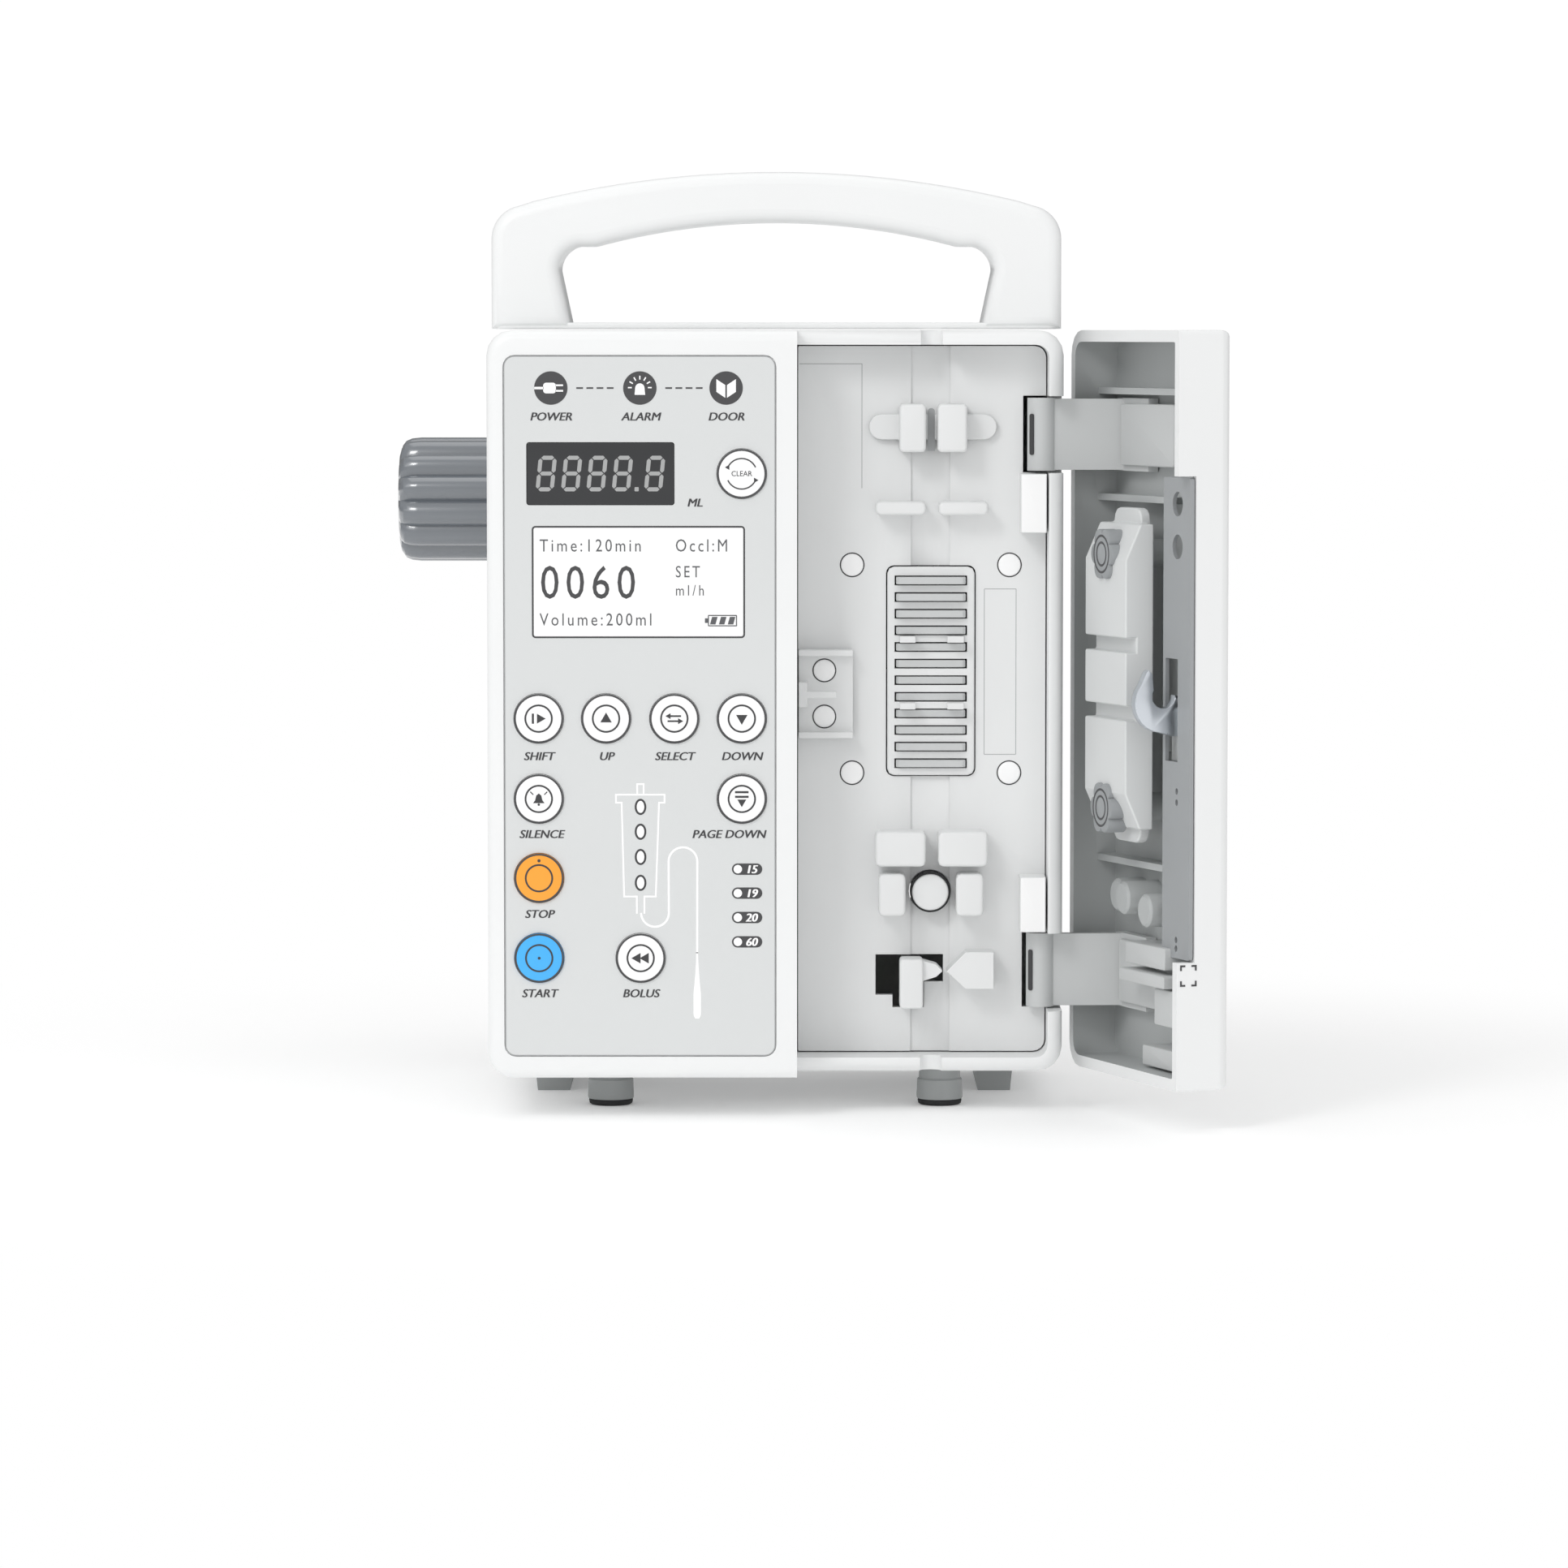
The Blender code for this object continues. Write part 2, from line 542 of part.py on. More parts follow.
def make_knob():
    """The clamp's fluted knob, with a blind bore for the end of its screw."""
    flutes = 10
    sides = 4 * flutes
    dome = 3.0
    stations = [(KNOB_LEFT, 0.70), (KNOB_LEFT + 0.5, 0.85), (KNOB_LEFT + 1.6, 0.95), (KNOB_LEFT + dome, 1.0)]
    stations += [(KNOB_RIGHT - 1.0, 1.0), (KNOB_RIGHT, 0.94)]
    rings = []
    for x, share in stations:
        ring = []
        for k in range(sides):
            radius = share * (KNOB_RADIUS - (0.0, 1.0, 1.9, 1.0)[k % 4])
            angle = 2 * math.pi * k / sides
            ring.append((x, CLAMP_Y + radius * math.cos(angle), CLAMP_Z + radius * math.sin(angle)))
        rings.append(ring)
    bore = turned("X", CLAMP_Y, CLAMP_Z, [(KNOB_RIGHT - SCREW_DEPTH - GAP, SCREW_BORE), (0, SCREW_BORE)], 16)
    return cut(loft(rings), bore)


def make_screw():
    """The clamp's screw, from inside the knob through the bush to the pad."""
    ends = (KNOB_RIGHT - SCREW_DEPTH, PAD_LEFT - GAP)
    return turned("X", CLAMP_Y, CLAMP_Z, [(x, SCREW_BORE - GAP) for x in ends], 16)


def make_bush():
    """The flanged bush in the bracket's arm that the screw runs in."""
    profile = [(-38.2, BUSH_RADIUS + 2), (-36.3, BUSH_RADIUS + 2), (-36.3, BUSH_RADIUS), (-22.6, BUSH_RADIUS)]
    bush = turned("X", CLAMP_Y, CLAMP_Z, profile, 20)
    return cut(bush, turned("X", CLAMP_Y, CLAMP_Z, [(-45, SCREW_BORE), (-10, SCREW_BORE)], 16))


def make_bracket():
    """The C-shaped clamp bracket on the back, bored for the screw's bush."""
    near, web, tip, far = BACK_Y + GAP, 101.5, 139.0, 143.0
    outline = [(-36, near), (33, near), (33, far), (27, far), (20, tip)]
    outline += [(20, web), (-23, web), (-23, tip), (-26, far), (-36, far)]
    bracket = prism("Z", outline, CLAMP_Z - 15, CLAMP_Z + 15)
    radius = BUSH_RADIUS + GAP
    return cut(bracket, turned("X", CLAMP_Y, CLAMP_Z, [(-45, radius), (-10, radius)], 20))


def make_inlet():
    """The mains inlet: a box through the back wall with its socket open to the rear."""
    inlet = slab("Y", (-52, -24, 20, 40), 73, BACK_Y + 0.5, 1.0, steps=2)
    socket = slab("Y", (-49, -27, 23, 37), BACK_Y - 14, BACK_Y + 5, 2.0, steps=2)
    return cut(inlet, socket)


def make_detector():
    """The bubble detector: a long plate with two sensor blocks and the gap for the tube."""
    plate = slab("Y", (22.2, 52.85, 161.3, 167.4), 10.0, FLOOR_Y - GAP, 3.0, steps=4)
    blocks = []
    for left, right in ((29.4, 35.7), (38.5, 45.6)):
        blocks.append(slab("Y", (left, right, 158.4, 169.9), 2.6, FLOOR_Y - GAP, 0.9, low=0.8, steps=2))
    return fuse(plate, *blocks)


def make_striker():
    """The catch block for the door's latch, with its bar across the front."""
    base = block(5.3, 18.4, 8.6, FLOOR_Y - GAP, 89.8, 111.0)
    parts = [block(5.3, 18.4, 5.8, 9.4, z, z + 1.5) for z in (89.8, 109.5)]
    parts.append(block(5.3, 7.4, 3.0, 9.4, 97.4, 103.4))
    parts.append(block(5.3, 14.4, 3.0, 4.6, 99.6, 101.2))
    return fuse(base, *parts)


def make_flow_jaw():
    """The sliding half of the flow clamp: a tab with a wedge towards the fixed anvil."""
    tab = slab("Y", (29.6, 35.25, 24.8, 36.8), 3.6, FLOOR_Y - GAP, 0.8, low=0.6, steps=2)
    outline = [(34.6, 31.2), (38.4, 32.4), (39.9, 33.8), (38.4, 35.4), (34.6, 36.4)]
    wedge = prism("Y", outline, 5.2, FLOOR_Y - GAP)
    stem = block(30.2, 34.8, FLOOR_Y - 2, 20, 31.2, 36.6)
    return fuse(tab, wedge, stem)


def make_overlay():
    """The thin panel sheet, open over the two displays and round every key."""
    overlay = slab("Y", OVERLAY, PANEL_Y - 0.15, PANEL_Y + 0.3, 2.5)
    holes = [slab("Y", window, -20, -8, 0.8) for window in (LED_WINDOW, LCD_WINDOW)]
    holes += [key_hole(x, z) for x, z in KEYS.values()]
    return cut(overlay, *holes)


def key_profile():
    """A key's profile along its travel: printed cap, flange behind the panel, and stem to its switch."""
    cap = [(-15.0, KEY_RADIUS - 0.5), (-14.7, KEY_RADIUS), (-11.0, KEY_RADIUS)]
    return cap + [(-11.0, 6.6), (-10.2, 6.6), (-10.2, 2.0), (-5.2, 2.0)]


def build():
    for obj in list(bpy.data.objects):
        bpy.data.objects.remove(obj, do_unlink=True)
    paint = make_materials()
    base = make_axis("pump_origin", (CENTRE_X, CENTRE_Y, 0))
    casing, bay, grey = paint["casing"], paint["bay"], paint["grey_plastic"]
    steel, aluminium, black = paint["steel"], paint["aluminium"], paint["black_plastic"]

    make_node("front_housing", make_front_housing(), casing, base, smooth=35)
    make_node("rear_housing", make_rear_housing(), casing, base, smooth=35)
    make_node("bay_plate", make_bay_plate(), bay, base, smooth=35)
    make_node("finger_window", make_finger_window(), bay, base)
    make_node("carry_handle", make_handle(), casing, base, smooth=35)

    make_node("keypad_overlay", make_overlay(), paint["overlay"], base)
    displays = (("led_display", LED_WINDOW, "dark_window"), ("lcd_display", LCD_WINDOW, "light_window"))
    for name, window, colour in displays:
        sides = (window[0] + GAP, window[1] - GAP, window[2] + GAP, window[3] - GAP)
        make_node(name, slab("Y", sides, PANEL_Y - 0.1, -4.6, 0.6, steps=3), paint[colour], base)
    make_node("front_board", block(-63.5, -1.0, -4.3, -2.7, 18, 180), paint["board"], base)
    make_node("main_board", block(-64, 13, 41.1, 42.7, 18, 178), paint["board"], base)
    make_node("battery_pack", slab("Z", (-56, -20, 46, 72), 12.9, 66, 2.0, steps=2), black, base)
    make_node("power_supply", block(-56, -14, 54, 92.1, 78, 132), aluminium, base)
    make_node("mains_inlet", make_inlet(), black, base)

    make_node("pump_frame", make_pump_frame(), aluminium, base)
    motor = slab("Z", (19.5, 54.5, MOTOR_Y - 17.5, MOTOR_Y + 17.5), 104, 138.2, 3.0, steps=2)
    make_node("stepper_motor", motor, black, base)
    cam_axis = make_axis("camshaft_axis", (TUBE_X, CAM_Y, 100), base)
    make_node("camshaft", make_camshaft(), steel, cam_axis, smooth=35)
    motor_axis = make_axis("motor_pulley_axis", (TUBE_X, MOTOR_Y, 146), base)
    low, high = PULLEY_Z
    profile = [(138.5, 2.5), (low, 2.5), (low, 6.0), (high, 6.0), (high, 2.5), (high + 1, 2.5)]
    make_node("motor_pulley", turned("Z", TUBE_X, MOTOR_Y, profile, 16), aluminium, motor_axis, smooth=35)
    make_node("timing_belt", make_belt(), paint["rubber"], base, smooth=35)
    for number in range(FINGER_COUNT):
        z = FINGER_TOP - number * FINGER_PITCH
        slide = make_axis(f"finger_{number + 1:02}_slide", (TUBE_X, FINGER_FRONT, z), base)
        make_node(f"finger_{number + 1:02}", make_finger(number), grey, slide)

    make_node("bubble_detector", make_detector(), bay, base, smooth=35)
    slide = make_axis("plunger_slide", (TUBE_X, 8, 52.6), base)
    plunger = turned("Y", TUBE_X, 52.6, [(7.4, 4.2), (7.9, 4.7), (22.0, 4.7)], 20)
    make_node("pressure_plunger", plunger, bay, slide, smooth=35)
    slide = make_axis("flow_clamp_slide", (35, 8, 33.8), base)
    make_node("flow_clamp_jaw", make_flow_jaw(), bay, slide)
    make_node("latch_striker", make_striker(), bay, base)

    for side, x in (("left", -40.2), ("right", 39.6)):
        foot = turned("Z", x, 20, [(0, 4.9), (0.4, 5.6), (2.2, 5.6), (2.2, 5.3), (9.7, 5.3)], 20)
        make_node(f"front_foot_{side}", foot, grey, base, smooth=35)
    for side, x in (("left", -55.0), ("right", 53.7)):
        skid = prism("Y", [(x - 4, 0.0), (x + 4, 0.0), (x + 5, 9.7), (x - 5, 9.7)], 48, 88)
        make_node(f"rear_foot_{side}", skid, grey, base)

    make_node("clamp_bracket", make_bracket(), paint["knob_grey"], base)
    slide = make_axis("clamp_pad_slide", (PAD_LEFT, CLAMP_Y, CLAMP_Z), base)
    pad_sides = (CLAMP_Y - 12, CLAMP_Y + 12, CLAMP_Z - 12, CLAMP_Z + 12)
    pad = slab("X", pad_sides, PAD_LEFT, PAD_LEFT + 6, 3.0, steps=2)
    make_node("clamp_pad", pad, paint["rubber"], slide)
    turn = make_axis("clamp_knob_axis", (KNOB_LEFT, CLAMP_Y, CLAMP_Z), slide)
    make_node("clamp_knob", make_knob(), paint["knob_grey"], turn, smooth=20)
    make_node("clamp_screw", make_screw(), steel, turn, smooth=35)
    make_node("clamp_bush", make_bush(), steel, base, smooth=35)

    for name, (x, z) in KEYS.items():
        slide = make_axis(f"{name}_travel", (x, PANEL_Y, z), base)
        colour = {"key_stop": "key_orange", "key_start": "key_blue"}.get(name, "key_white")
        make_node(name, turned("Y", x, z, key_profile(), KEY_SIDES), paint[colour], slide, smooth=35)

    door = make_axis("door_hinge_axis", (*HINGE, 90), base, turn=DOOR_OPEN)
    make_node("door_shell", make_door_shell(), casing, door, smooth=35)
    make_node("door_latch_plate", make_latch_plate(), steel, door)
    for name, (low, high) in ARMS.items():
        make_node(name, make_hinge_arm(low, high), grey, door, smooth=35)
    slide = make_axis("platen_slide", (TUBE_X, 0, 106), door)
    make_node("platen", make_platen(), bay, slide)
    latch = make_axis("latch_axis", (17, *LATCH), door)
    make_node("latch_hook", make_hook(), steel, latch)
    make_node("latch_lever", make_lever(), grey, latch, smooth=35)


build()
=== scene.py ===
# Infusion pump with its tube door open: the looks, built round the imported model.
# Drawing sizes are in mm: x to the pump's right from the body's middle, y back from the bay's rim, z up.
import json
import math

import bmesh
import bpy
import numpy as np
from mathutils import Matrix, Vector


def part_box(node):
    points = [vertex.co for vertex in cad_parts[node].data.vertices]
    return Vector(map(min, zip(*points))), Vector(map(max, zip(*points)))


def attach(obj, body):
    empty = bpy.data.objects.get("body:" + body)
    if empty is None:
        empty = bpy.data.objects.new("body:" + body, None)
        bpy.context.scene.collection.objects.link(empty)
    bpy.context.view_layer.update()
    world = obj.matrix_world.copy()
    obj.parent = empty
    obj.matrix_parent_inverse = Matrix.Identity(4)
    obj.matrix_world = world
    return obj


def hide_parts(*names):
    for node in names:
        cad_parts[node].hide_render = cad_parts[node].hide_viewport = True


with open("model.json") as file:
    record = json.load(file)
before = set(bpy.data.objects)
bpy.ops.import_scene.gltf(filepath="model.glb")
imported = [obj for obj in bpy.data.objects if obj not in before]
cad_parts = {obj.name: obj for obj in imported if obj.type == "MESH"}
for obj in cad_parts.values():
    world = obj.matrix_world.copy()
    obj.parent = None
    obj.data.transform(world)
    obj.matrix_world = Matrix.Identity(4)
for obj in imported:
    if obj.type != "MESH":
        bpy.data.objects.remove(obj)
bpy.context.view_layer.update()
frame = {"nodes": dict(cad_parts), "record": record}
record = frame["record"]
slotOf = {part["node"]: part["material_slot"] for part in record["subparts"]}
bodyOf = {node: body for body, nodes in record["behaviour"]["bodies"].items() for node in nodes}
jointOf = {joint["name"]: joint for joint in record["behaviour"]["joints"]}
mm = 0.001


def boxOf(node):
    # a node's lowest and highest corners in drawing millimetres
    low, high = (np.array(corner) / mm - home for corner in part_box(node))
    return low, high


home = np.zeros(3)
housingLow, housingHigh = boxOf("front_housing")
home = np.array([(housingLow[0] + housingHigh[0]) / 2, housingLow[1] + 14.0, 0.0])
panelY = boxOf("keypad_overlay")[0][1]
floorY = boxOf("bubble_detector")[1][1] + 0.3

# the door is drawn closed and turned about its hinge to where it stands
hinge = np.array(jointOf["door_hinge"]["pos_m"]) / mm - home
doorTurn = -math.radians(jointOf["door_hinge"]["range_deg"][0])


def toWorld(points, inDoor=False):
    # drawing millimetres to world metres; door pieces are first turned about the hinge
    points = np.asarray(points, float).copy()
    if inDoor:
        c, s = math.cos(doorTurn), math.sin(doorTurn)
        x, y = points[:, 0] - hinge[0], points[:, 1] - hinge[1]
        points[:, 0] = hinge[0] + c * x - s * y
        points[:, 1] = hinge[1] + s * x + c * y
    return (points + home) * mm


print("stage: materials")


def linear(code):
    # an sRGB hex value as linear red, green, blue and alpha
    channels = [int(code[i : i + 2], 16) / 255 for i in (0, 2, 4)]
    return [c / 12.92 if c <= 0.04045 else ((c + 0.055) / 1.055) ** 2.4 for c in channels] + [1.0]


def addNode(tree, kind, settings=None, values=None, links=None):
    # one node with its settings, its socket values, and its links as {input: (node, output)}
    node = tree.nodes.new(kind)
    for name, value in (settings or {}).items():
        setattr(node, name, value)
    for name, value in (values or {}).items():
        node.inputs[name].default_value = value
    for name, (source, output) in (links or {}).items():
        tree.links.new(source.outputs[output], node.inputs[name])
    return node


def grained(name, code, roughness, grainMm, grainDepth, mottle=0.02, coat=0.0, ior=1.5):
    # a moulded or rolled surface: fine grain in the bump, slow mottle in colour, uneven roughness
    material = bpy.data.materials.new(name)
    material.use_nodes = True
    tree = material.node_tree
    shader = tree.nodes["Principled BSDF"]
    shader.inputs["IOR"].default_value = ior
    shader.inputs["Coat Weight"].default_value = coat
    place = addNode(tree, "ShaderNodeTexCoord")
    onPiece = {"Vector": (place, "Object")}
    grain = {"Scale": 1 / (grainMm * mm), "Detail": 3.0, "Roughness": 0.6}
    fine = addNode(tree, "ShaderNodeTexNoise", values=grain, links=onPiece)
    slow = addNode(
        tree, "ShaderNodeTexNoise", values={"Scale": 1 / (26 * mm), "Detail": 4.0}, links=onPiece
    )
    base = linear(code)
    dark = [c * (1 - 2.2 * mottle) for c in base[:3]] + [1.0]
    ramp = addNode(tree, "ShaderNodeValToRGB", links={"Fac": (slow, "Fac")})
    ramp.color_ramp.elements[0].position = 0.3
    ramp.color_ramp.elements[0].color = dark
    ramp.color_ramp.elements[1].position = 0.7
    ramp.color_ramp.elements[1].color = base
    tree.links.new(ramp.outputs["Color"], shader.inputs["Base Color"])
    limits = {"To Min": roughness - 0.04, "To Max": roughness + 0.04}
    uneven = addNode(tree, "ShaderNodeMapRange", values=limits, links={"Value": (slow, "Fac")})
    tree.links.new(uneven.outputs["Result"], shader.inputs["Roughness"])
    relief = {"Strength": 0.35, "Distance": grainDepth * mm}
    bump = addNode(tree, "ShaderNodeBump", values=relief, links={"Height": (fine, "Fac")})
    tree.links.new(bump.outputs["Normal"], shader.inputs["Normal"])
    return material


def brushed(name, code, roughness, along):
    # drawn metal: streaks stretched along one axis in roughness and bump
    material = bpy.data.materials.new(name)
    material.use_nodes = True
    tree = material.node_tree
    shader = tree.nodes["Principled BSDF"]
    shader.inputs["Base Color"].default_value = linear(code)
    shader.inputs["Metallic"].default_value = 1.0
    place = addNode(tree, "ShaderNodeTexCoord")
    scale = [0.04 if axis == along else 1.0 for axis in "XYZ"]
    stretch = addNode(
        tree, "ShaderNodeMapping", values={"Scale": scale}, links={"Vector": (place, "Object")}
    )
    streak = {"Scale": 1 / (0.35 * mm), "Detail": 4.0}
    streaks = addNode(tree, "ShaderNodeTexNoise", values=streak, links={"Vector": (stretch, "Vector")})
    limits = {"To Min": roughness - 0.08, "To Max": roughness + 0.1}
    uneven = addNode(tree, "ShaderNodeMapRange", values=limits, links={"Value": (streaks, "Fac")})
    tree.links.new(uneven.outputs["Result"], shader.inputs["Roughness"])
    relief = {"Strength": 0.3, "Distance": 0.02 * mm}
    bump = addNode(tree, "ShaderNodeBump", values=relief, links={"Height": (streaks, "Fac")})
    tree.links.new(bump.outputs["Normal"], shader.inputs["Normal"])
    return material


paint = {
    # satin ABS with soft wide highlights, greyer and duller in the bay; greyer still inside the door, where
    # the grey is painted shade
    "casing": grained("moulded_abs_white", "EEEFEF", 0.34, 0.9, 0.02, mottle=0.006),
    "bay": grained("moulded_abs_light_grey", "E6E7E7", 0.42, 0.9, 0.025, mottle=0.008),
    # the arms, fingers, lever and inner door pieces: a mid grey, partly painted shade inside the door
    "tray": grained("moulded_abs_door_inner", "C9CBCB", 0.5, 0.8, 0.03, mottle=0.015),
    # painted shade: the door's cavity, a darker grey than the tray
    "doorCavityShade": grained("door_cavity_painted_shade", "B6B9B9", 0.5, 0.8, 0.03, mottle=0.015),
    # acetal, a little silkier than the ABS round it
    "platen": grained("moulded_acetal_white", "DADCDC", 0.4, 0.8, 0.02, mottle=0.01),
    "starGrey": grained("moulded_acetal_grey", "9B9EA0", 0.4, 0.7, 0.03, mottle=0.03),
    # printed film: even colour with a faint tooth
    "overlay": grained("printed_polyester_grey", "D8DADA", 0.34, 0.5, 0.012, mottle=0.004),
    "keyWhite": grained("printed_polyester_white", "FAFAFA", 0.3, 0.5, 0.01, mottle=0.003),
    "keyOrange": grained("printed_polyester_orange", "FDA735", 0.3, 0.5, 0.01, mottle=0.006),
    "keyBlue": grained("printed_polyester_blue", "46B4F9", 0.3, 0.5, 0.01, mottle=0.006),
    # screen inks: flat and nearly matt, so lines read as print; the dark label ink also fills slots as
    # painted shade, and the faint grey is painted shade along grooves and gaps, not ink
    "inkDark": grained("screen_ink_dark_grey", "454547", 0.45, 0.4, 0.006, mottle=0.02),
    # the label ink, also used as painted shade in slots
    "inkText": grained("screen_ink_label_and_slot_shade", "3C3C3E", 0.5, 0.4, 0.006, mottle=0.02),
    "inkWhite": grained("screen_ink_white", "FDFDFD", 0.4, 0.4, 0.006, mottle=0.003),
    # painted shade: the faint grey laid in grooves, recess edges and gaps
    "grooveShade": grained("groove_shadow_grey", "A9ABAC", 0.6, 0.4, 0.006, mottle=0.02),
    # deep gloss windows with a faint waviness, and what shows in them
    "smoked": grained("smoked_acrylic", "2F3032", 0.2, 6.0, 0.004, mottle=0.02, ior=1.49),
    "segment": grained("unlit_led_segment", "A9AAAA", 0.35, 0.4, 0.006, mottle=0.02),
    "lcdGlass": grained("lcd_glass_white", "FCFCFC", 0.18, 8.0, 0.003, mottle=0.003, coat=0.3),
    "lcdInk": grained("lcd_figure_grey", "5C5D60", 0.4, 0.4, 0.004, mottle=0.03),
    # nylon and rubber: the knob shines coolly, the feet are satin, the blacks are matt and coarser
    "knob": grained("glass_filled_nylon_grey", "636970", 0.24, 0.7, 0.02, mottle=0.03, coat=1.0, ior=1.9),
    "footGrey": grained("moulded_foot_grey", "A0A3A3", 0.5, 0.7, 0.03, mottle=0.02),
    "rubber": grained("moulded_nitrile_rubber", "232425", 0.75, 0.6, 0.05, mottle=0.05),
    "beltRubber": grained("neoprene_belt", "1C1D1E", 0.7, 0.6, 0.05, mottle=0.05),
    "blackNylon": grained("moulded_black_nylon", "242628", 0.5, 0.6, 0.04, mottle=0.03),
    "board": grained("solder_mask_green", "2B6A43", 0.35, 1.2, 0.02, mottle=0.06, coat=0.3),
    # metals: even satin paint, then bare metal with streaks along its grain
    "plate": grained("painted_steel_plate", "9EA1A3", 0.38, 1.4, 0.012, mottle=0.02),
    "hookSteel": brushed("polished_steel_hook", "D5DAE0", 0.3, "Z"),
    "steel": brushed("ground_steel", "C9CCCF", 0.28, "Z"),
    "aluminium": brushed("drawn_aluminium", "C4C7C9", 0.36, "X"),
}

print("stage: helpers for pieces")


def addPiece(name, points, faces, finish, body, inDoor=False, smooth=None, replaces=(), slot=None):
    # a finished piece from drawing points; faces index the points
    mesh = bpy.data.meshes.new(name)
    mesh.from_pydata(toWorld(points, inDoor).tolist(), [], faces)
    mesh.materials.append(paint[finish])
    return finishPiece(name, mesh, body, smooth, replaces, slot)


def finishPiece(name, mesh, body, smooth=None, replaces=(), slot=None):
    mesh.validate()
    if smooth:
        mesh.shade_smooth()
        mesh.set_sharp_from_angle(angle=math.radians(smooth))
    piece = bpy.data.objects.new(name, mesh)
    bpy.context.scene.collection.objects.link(piece)
    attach(piece, body)
    if replaces:
        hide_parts(*replaces)
        slot = slot or slotOf[replaces[0]]
    return piece


def gridFaces(rows, columns):
    # quads over rings of points, one ring a row, with the first and last rings capped
    faces = []
    for row in range(rows - 1):
        for column in range(columns):
            a = row * columns + column
            b = row * columns + (column + 1) % columns
            faces.append((a, b, b + columns, a + columns))
    faces.append(tuple(reversed(range(columns))))
    faces.append(tuple(range((rows - 1) * columns, rows * columns)))
    return faces


def turned(axis, centre, profile, sides=48):
    # a turned surface: each (height, radius) pair of the profile carried round a line along the axis
    height, radius = np.array(profile, float).T
    angle = np.linspace(0, 2 * np.pi, sides, endpoint=False)
    flip = -1 if axis == "Y" else 1
    across = radius[:, None] * np.cos(angle)[None, :]
    up = flip * radius[:, None] * np.sin(angle)[None, :]
    along = np.repeat(height[:, None], sides, axis=1)
    u, v = centre
    grids = {
        "X": (along, u + across, v + up), "Y": (u + across, along, v + up), "Z": (u + across, v + up, along)
    }
    points = np.stack(grids[axis], -1).reshape(-1, 3)
    return points, gridFaces(len(profile), sides)


def turnedPiece(name, axis, centre, profile, finish, body, sides=48, smooth=40, **more):
    points, faces = turned(axis, centre, profile, sides)
    return addPiece(name, points, faces, finish, body, smooth=smooth, **more)


def roundBox(low, high, radius, edge, steps=4, axis=1):
    # a box whose corners along one axis are arcs and whose two ends roll over with a small edge radius
    low, high = np.array(low, float), np.array(high, float)
    u, v = [k for k in range(3) if k != axis]
    turn = np.linspace(0, np.pi / 2, steps + 1)
    stations = [(edge * (1 - math.cos(t)), edge * (1 - math.sin(t))) for t in np.linspace(0, np.pi / 2, 4)]
    levels = [(low[axis] + w, inset) for w, inset in stations]
    levels += [(high[axis] - w, inset) for w, inset in reversed(stations)]
    rings = []
    for w, inset in levels:
        r = max(radius - inset, 0.02)
        ring = []
        left, right = low[u] + inset + r, high[u] - inset - r
        near, far = low[v] + inset + r, high[v] - inset - r
        for quarter, (cu, cv) in enumerate(((left, near), (right, near), (right, far), (left, far))):
            angle = np.pi + quarter * np.pi / 2 + turn
            part = np.zeros((steps + 1, 3))
            part[:, u] = cu + r * np.cos(angle)
            part[:, v] = cv + r * np.sin(angle)
            part[:, axis] = w
            ring.append(part)
        rings.append(np.concatenate(ring))
    points = np.concatenate(rings)
    columns = 4 * (steps + 1)
    faces = gridFaces(len(levels), columns)
    if axis == 1:
        faces = [tuple(reversed(face)) for face in faces]
    return points, faces


def boxPiece(name, low, high, radius, edge, finish, body, axis=1, **more):
    points, faces = roundBox(low, high, radius, edge, axis=axis)
    return addPiece(name, points, faces, finish, body, smooth=40, **more)


def circle(x, z, radius, sides=48, tall=None):
    # a circle or, with tall, an oval as outline points
    angle = np.linspace(0, 2 * np.pi, sides, endpoint=False)
    return np.stack([x + radius * np.cos(angle), z + (tall or radius) * np.sin(angle)], -1)


def roundRect(left, right, low, high, radius, steps=6):
    # a rectangle with arcs for corners as outline points
    west, east = left + radius, right - radius
    south, north = low + radius, high - radius
    parts = []
    for quarter, (x, z) in enumerate(((west, south), (east, south), (east, north), (west, north))):
        angle = np.pi + quarter * np.pi / 2 + np.linspace(0, np.pi / 2, steps + 1)
        parts.append(np.stack([x + radius * np.cos(angle), z + radius * np.sin(angle)], -1))
    return np.concatenate(parts)


def frameLoops(left, right, low, high, radius, width):
    # a thin outline: a rounded rectangle with a smaller one inside it as its hole
    hole = roundRect(left + width, right - width, low + width, high - width, max(radius - width, 0.05))
    return [roundRect(left, right, low, high, radius), hole]


def borderLoops(low, high, out, radius, width):
    # a thin outline that stands a little outside a box's front
    return frameLoops(low[0] - out, high[0] + out, low[2] - out, high[2] + out, radius, width)


def ringLoops(x, z, radius, width):
    return [circle(x, z, radius), circle(x, z, radius - width)]


def stroke(path, width):
    # a line of even width with mitred corners: each point moves out along the mean of its two runs' normals
    path = np.array(path, float)
    runs = np.diff(path, axis=0)
    runs /= np.linalg.norm(runs, axis=1, keepdims=True)
    normals = np.stack([-runs[:, 1], runs[:, 0]], -1)
    before = np.vstack([normals[:1], normals])
    after = np.vstack([normals, normals[-1:]])
    mean = before + after
    side = mean / (mean * after).sum(1, keepdims=True) * width / 2
    return np.concatenate([path + side, (path - side)[::-1]])


def flatMesh(name, loops, thick):
    # outlines in (x, z), holes included, filled and given a thickness by a flat curve
    curve = bpy.data.curves.new(name, "CURVE")
    curve.dimensions = "2D"
    curve.fill_mode = "BOTH"
    curve.extrude = thick / 2
    for loop in loops:
        closedSpline(curve, loop)
    return bakedCurve(name, curve)


def closedSpline(curve, loop):
    spline = curve.splines.new("POLY")
    spline.points.add(len(loop) - 1)
    spline.points.foreach_set(
        "co", np.column_stack([loop, np.zeros(len(loop)), np.ones(len(loop))]).ravel()
    )
    spline.use_cyclic_u = True


